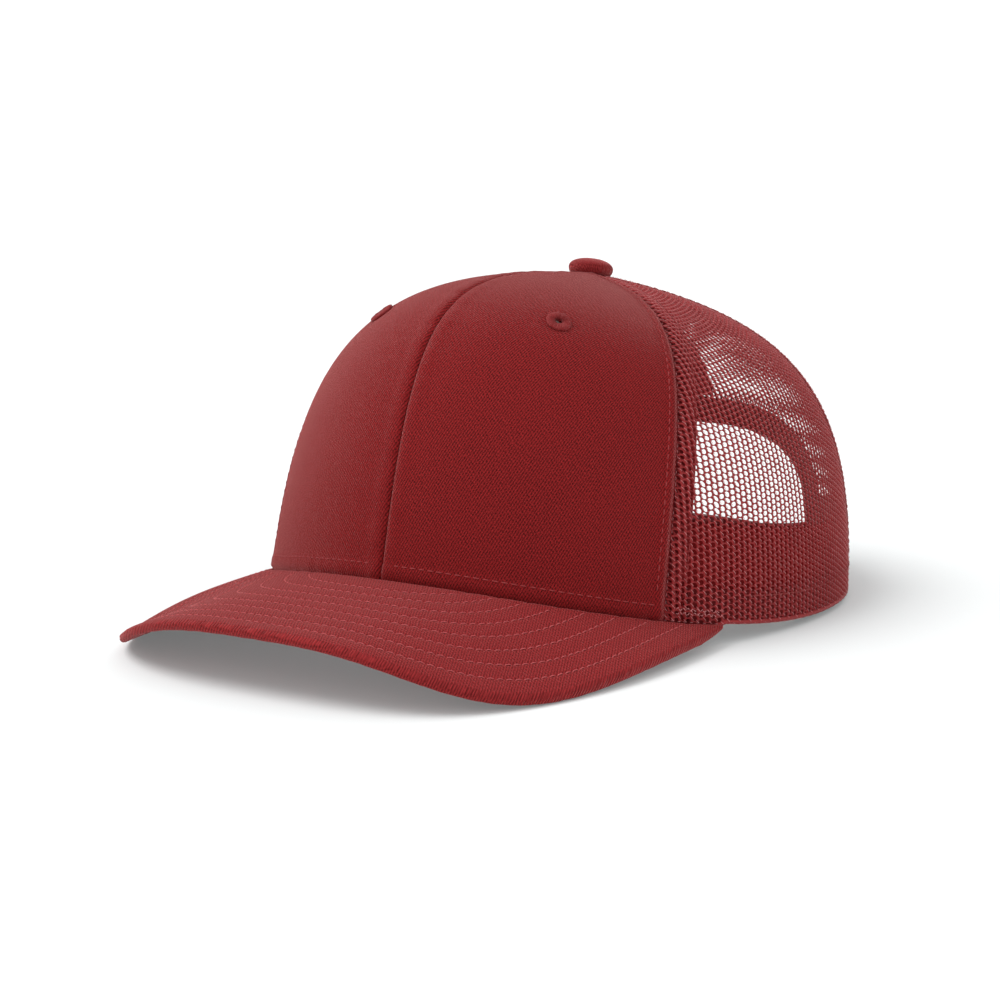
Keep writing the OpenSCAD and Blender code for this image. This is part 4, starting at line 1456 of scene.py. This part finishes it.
STRAP_R = 86.4
STRAP_T = 1.2
STRAP_H = 11.0
STRAP_Z = 0.3
PEG_PITCH = 5.43
PEG_D = 4.0
STRAP_HOLE_D = 4.8
BAND_GAP = 0.3
PEG_STRAP_R = STRAP_R - STRAP_T - BAND_GAP
FIRST_PEG = 180 - 1.5 * PEG_PITCH
TIP_MARGIN = 3.4
HINGE_ANGLE = 180 - ARCH_HALF_ANGLE + 2.5
FLEX_ANGLE = 0.6
TAB_ANGLE = 7.4
PEGS = 7
SIDE_DIVISIONS = 12
CELL_DIVISIONS = 8
STRAP_CORNER = 3.6
PEG_SIDES = 28
EDGE_WIDTH = 0.3


def band_cells(radius, start, end, centres, hole_r):
    """Flat quads of a band between two angles, with a ring of quads round each centre.

    Returns flat points (angle, height) and quads."""
    half = STRAP_H / 2
    points, quads = [], []
    cell = PEG_PITCH / 2

    def add(grid):
        base = len(points)
        columns, rows = len(grid), len(grid[0])
        for column in grid:
            points.extend(column)
        quads.extend((grid_quads(columns, rows) + base).tolist())

    def rectangle(a, b, columns):
        z = np.linspace(-half, half, SIDE_DIVISIONS + 1)
        add([[(x, v) for v in z] for x in np.linspace(a, b, columns + 1)])

    def ring(centre):
        per_degree = math.radians(radius)
        z = np.linspace(-half, half, SIDE_DIVISIONS + 1)
        x = np.linspace(centre - cell, centre + cell, CELL_DIVISIONS + 1)
        outline = [(centre + cell, v) for v in z]
        outline += [(v, half) for v in x[::-1][1:]]
        outline += [(centre - cell, v) for v in z[::-1][1:]]
        outline += [(v, -half) for v in x[1:]]
        outline = np.array(outline)
        offset = (outline[:, 0] - centre) * per_degree
        angle = np.arctan2(outline[:, 1], offset)
        circle = np.stack(
            [centre + hole_r * np.cos(angle) / per_degree, hole_r * np.sin(angle)], -1
        )
        steps = [0, 0.1, 0.25, 0.5, 1.0]
        grid = [[tuple(mix(c, o, s)) for s in steps] for c, o in zip(circle, outline)]
        add(grid)

    edges = sorted(centres)
    rectangle(start, edges[0] - cell, max(1, round((edges[0] - cell - start) / 1.2)))
    for centre in edges:
        ring(centre)
    rectangle(edges[-1] + cell, end, max(1, round((end - edges[-1] - cell) / 0.45)))
    points = np.array(points)
    key = np.round(points / 0.001).astype(np.int64)
    _, first, index = np.unique(key[:, 0] * 10**7 + key[:, 1], return_index=True, return_inverse=True)
    return points[first], index[np.array(quads)]


def strap_form(name, radius, start, end, centres, hole_r, tip_at_end):
    """A moulded band with holes, a thin raised border and a rounded tip."""
    if not tip_at_end:
        start, end = -end, -start
        centres = [-c for c in centres]
    flat, quads = band_cells(radius, start, end, centres, hole_r)
    per_degree = math.radians(radius)
    half = STRAP_H / 2
    to_tip = (end - flat[:, 0]) * per_degree
    inside = np.clip(STRAP_CORNER - to_tip, 0, STRAP_CORNER)
    reach = half - STRAP_CORNER + np.sqrt(np.maximum(STRAP_CORNER**2 - inside**2, 0))
    z = flat[:, 1] * reach / half
    edge = np.minimum(half - np.abs(flat[:, 1]), to_tip)
    dip = 0.12 * smooth((edge - 1.2) / 0.6)
    angle = flat[:, 0] if tip_at_end else -flat[:, 0]
    n = len(flat)
    outer = np.stack([angle, z, radius - dip], -1)
    inner = np.stack([angle, z, radius - STRAP_T + dip], -1)
    edges = np.concatenate([np.stack([quads[:, k], quads[:, (k + 1) % 4]], -1) for k in range(4)])
    forward = edges[:, 0] * n + edges[:, 1]
    backward = edges[:, 1] * n + edges[:, 0]
    a, b = edges[~np.isin(forward, backward)].T
    walls = np.stack([b, a, a + n, b + n], -1)
    all_quads = np.concatenate([quads, quads[:, ::-1] + n, walls])
    polar = np.concatenate([outer, inner])
    t = np.radians(polar[:, 0])
    points = np.stack(
        [polar[:, 2] * np.sin(t), -polar[:, 2] * np.cos(t), STRAP_Z + half + polar[:, 1]], -1
    )
    return make_mesh(name, points, [all_quads if tip_at_end else all_quads[:, ::-1]], crease=40)


def round_edges(ob):
    """Bevels the sharp edges of a moulded piece, as real geometry."""
    bevel = ob.modifiers.new("edges", "BEVEL")
    bevel.width = EDGE_WIDTH * MM
    bevel.segments = 3
    bevel.limit_method = "ANGLE"
    bevel.angle_limit = math.radians(40)
    graph = bpy.context.evaluated_depsgraph_get()
    mesh = bpy.data.meshes.new_from_object(ob.evaluated_get(graph))
    ob.modifiers.clear()
    old = ob.data
    ob.data = mesh
    bpy.data.meshes.remove(old)
    ob.data.shade_smooth()
    ob.data.set_sharp_from_angle(angle=math.radians(35))


def peg_row(name, angles):
    """Mushroom-headed pegs, standing outward on the inner band."""
    r = PEG_D / 2
    profile = [(r * 1.18, -0.35), (r * 1.12, 0.0), (r * 0.98, 0.22), (r * 0.93, 0.5)]
    profile += [(r * 0.95, 0.95), (r, 1.2), (r * 0.99, 1.45)]
    profile += [(r * math.cos(a), 1.2 + 1.12 * math.sin(a)) for a in np.linspace(0.25, 1.45, 7)]
    points, quads = lathe(profile, PEG_SIDES)
    walls, foot, top = open_lathe(quads, len(profile), PEG_SIDES)
    local = points.reshape(-1, 3)
    pegs = []
    for t in np.radians(angles):
        out = np.array([math.sin(t), -math.cos(t), 0])
        along = np.array([math.cos(t), math.sin(t), 0])
        at = out * (PEG_STRAP_R - 0.1) + [0, 0, STRAP_Z + STRAP_H / 2]
        pegs.append(at + local[:, :1] * along + local[:, 1:2] * [0, 0, 1.0] + local[:, 2:] * out)
    shift = len(local) * np.arange(len(pegs))[:, None, None]
    faces = [(part + shift).reshape(-1, part.shape[1]) for part in (walls, top, foot)]
    return make_mesh(name, np.concatenate(pegs), faces)


def straps(mats):
    tab_start = HINGE_ANGLE - FLEX_ANGLE - TAB_ANGLE
    last = FIRST_PEG + 3 * PEG_PITCH
    holes = [last - k * PEG_PITCH for k in range(PEGS)]
    pegs = [FIRST_PEG + k * PEG_PITCH for k in range(PEGS)]
    form = ("snap_strap_holes", STRAP_R, tab_start, last + TIP_MARGIN, holes, STRAP_HOLE_D / 2, True)
    finish_strap(
        strap_form(*form), mats, ["hole_strap", "hole_strap_tab"]
    )
    form = ("snap_strap_pegs", PEG_STRAP_R, FIRST_PEG - TIP_MARGIN, 360 - tab_start, pegs, 1.0, False)
    finish_strap(
        strap_form(*form), mats,
        ["peg_strap", "peg_strap_tab"],
    )
    ob = peg_row("snap_strap_peg_row", pegs)
    place(ob, "peg_band", "strap_plastic", mats["plastic"])


def finish_strap(ob, mats, nodes):
    """Rounds the band's edges, gives it the strap plastic and hides the CAD nodes it stands for."""
    round_edges(ob)
    ob.data.materials.clear()
    ob.data.materials.append(mats["plastic"])
    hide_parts(*nodes)
    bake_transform(ob)


# ---------------------------------------------------------------- stage

CAMERA_AZIMUTH = 31.959
CAMERA_ELEVATION = 9.449
CAMERA_DISTANCE = 643.5
CAMERA_LENS = 70.6
CAMERA_AIM = (-23.96, -36.42)


def camera():
    a, e = math.radians(CAMERA_AZIMUTH), math.radians(CAMERA_ELEVATION)
    back = Vector((math.sin(a) * math.cos(e), -math.cos(a) * math.cos(e), math.sin(e)))
    right = Vector((math.cos(a), math.sin(a), 0))
    up = back.cross(right)
    target = Vector((0, 0, 65)) + right * CAMERA_AIM[0] + up * CAMERA_AIM[1]
    data = bpy.data.cameras.new("camera")
    data.lens = CAMERA_LENS
    data.sensor_width = 36
    data.clip_start, data.clip_end = 0.01, 50
    ob = bpy.data.objects.new("camera", data)
    bpy.context.scene.collection.objects.link(ob)
    ob.rotation_mode = "QUATERNION"
    ob.location = (target + back * CAMERA_DISTANCE) * MM
    ob.rotation_quaternion = (-back).to_track_quat("-Z", "Y")
    bpy.context.scene.camera = ob


def stage_material(name, color, glow):
    s = Shader(name)
    tone = s.noise(s.place(), 0.4, 2.0)
    base = s.ramp(tone, tuple(c * 0.995 for c in color), color, 0.3, 0.7)
    s.surface.inputs["Emission Color"].default_value = (*glow, 1)
    s.surface.inputs["Emission Strength"].default_value = 1.0
    return s.finish(base, None, 0.9, 0.0, (1, 1, 1), 0.0)


def studio():
    bpy.ops.mesh.primitive_plane_add(size=12, location=(0, 0, 0))
    floor = bpy.context.object
    floor.name = "floor"
    # The floor glows faintly cyan-grey: painted light that lifts the shadows on it and takes the red cast
    # out of them.
    white = stage_material("floor_white", (0.80, 0.80, 0.80), (0.125, 0.155, 0.155))
    floor.data.materials.append(white)
    bpy.ops.mesh.primitive_uv_sphere_add(radius=6, segments=48, ring_count=24)
    dome = bpy.context.object
    dome.name = "backdrop"
    dome.data.materials.append(stage_material("backdrop_white", (0, 0, 0), (1.1, 1.1, 1.1)))
    dome.visible_diffuse = dome.visible_glossy = dome.visible_shadow = False
    dome.visible_transmission = False
    world = bpy.data.worlds.new("studio")
    world.use_nodes = True
    world.node_tree.nodes["Background"].inputs["Color"].default_value = (1, 1, 1, 1)
    world.node_tree.nodes["Background"].inputs["Strength"].default_value = 0.74
    bpy.context.scene.world = world
    sun = bpy.data.lights.new("key", "SUN")
    sun.energy = 1.75
    sun.angle = math.radians(40)
    key = bpy.data.objects.new("key", sun)
    bpy.context.scene.collection.objects.link(key)
    key.rotation_mode = "QUATERNION"
    key.rotation_quaternion = Vector((0.55, 0.32, -1.0)).to_track_quat("-Z", "Y")
    bpy.context.scene.view_settings.view_transform = "Standard"


def main():
    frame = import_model()
    mats = build_materials()
    for side in ("left", "right"):
        front_panel(side, mats)
        buckram(side, mats)
        rim_binding(side, mats)
        eyelet(side, mats)
    front_stitches(mats)
    net_panels(mats)
    net_hems(mats)
    bar_tacks(mats)
    tapes(mats)
    tape_stitches(mats)
    arch_binding(mats)
    binding_stitches(mats)
    sweatband(mats)
    padding(mats)
    visor_top(mats)
    visor_under(mats)
    visor_stitches(mats)
    visor_tab(mats)
    button(mats)
    straps(mats)
    inner_nodes = {"button_shell": "metal", "button_tack": "metal", "visor_board": "board"}
    for name, material in inner_nodes.items():
        node = frame["nodes"][name]
        node.data.materials.clear()
        node.data.materials.append(mats[material])
    camera()
    studio()


main()
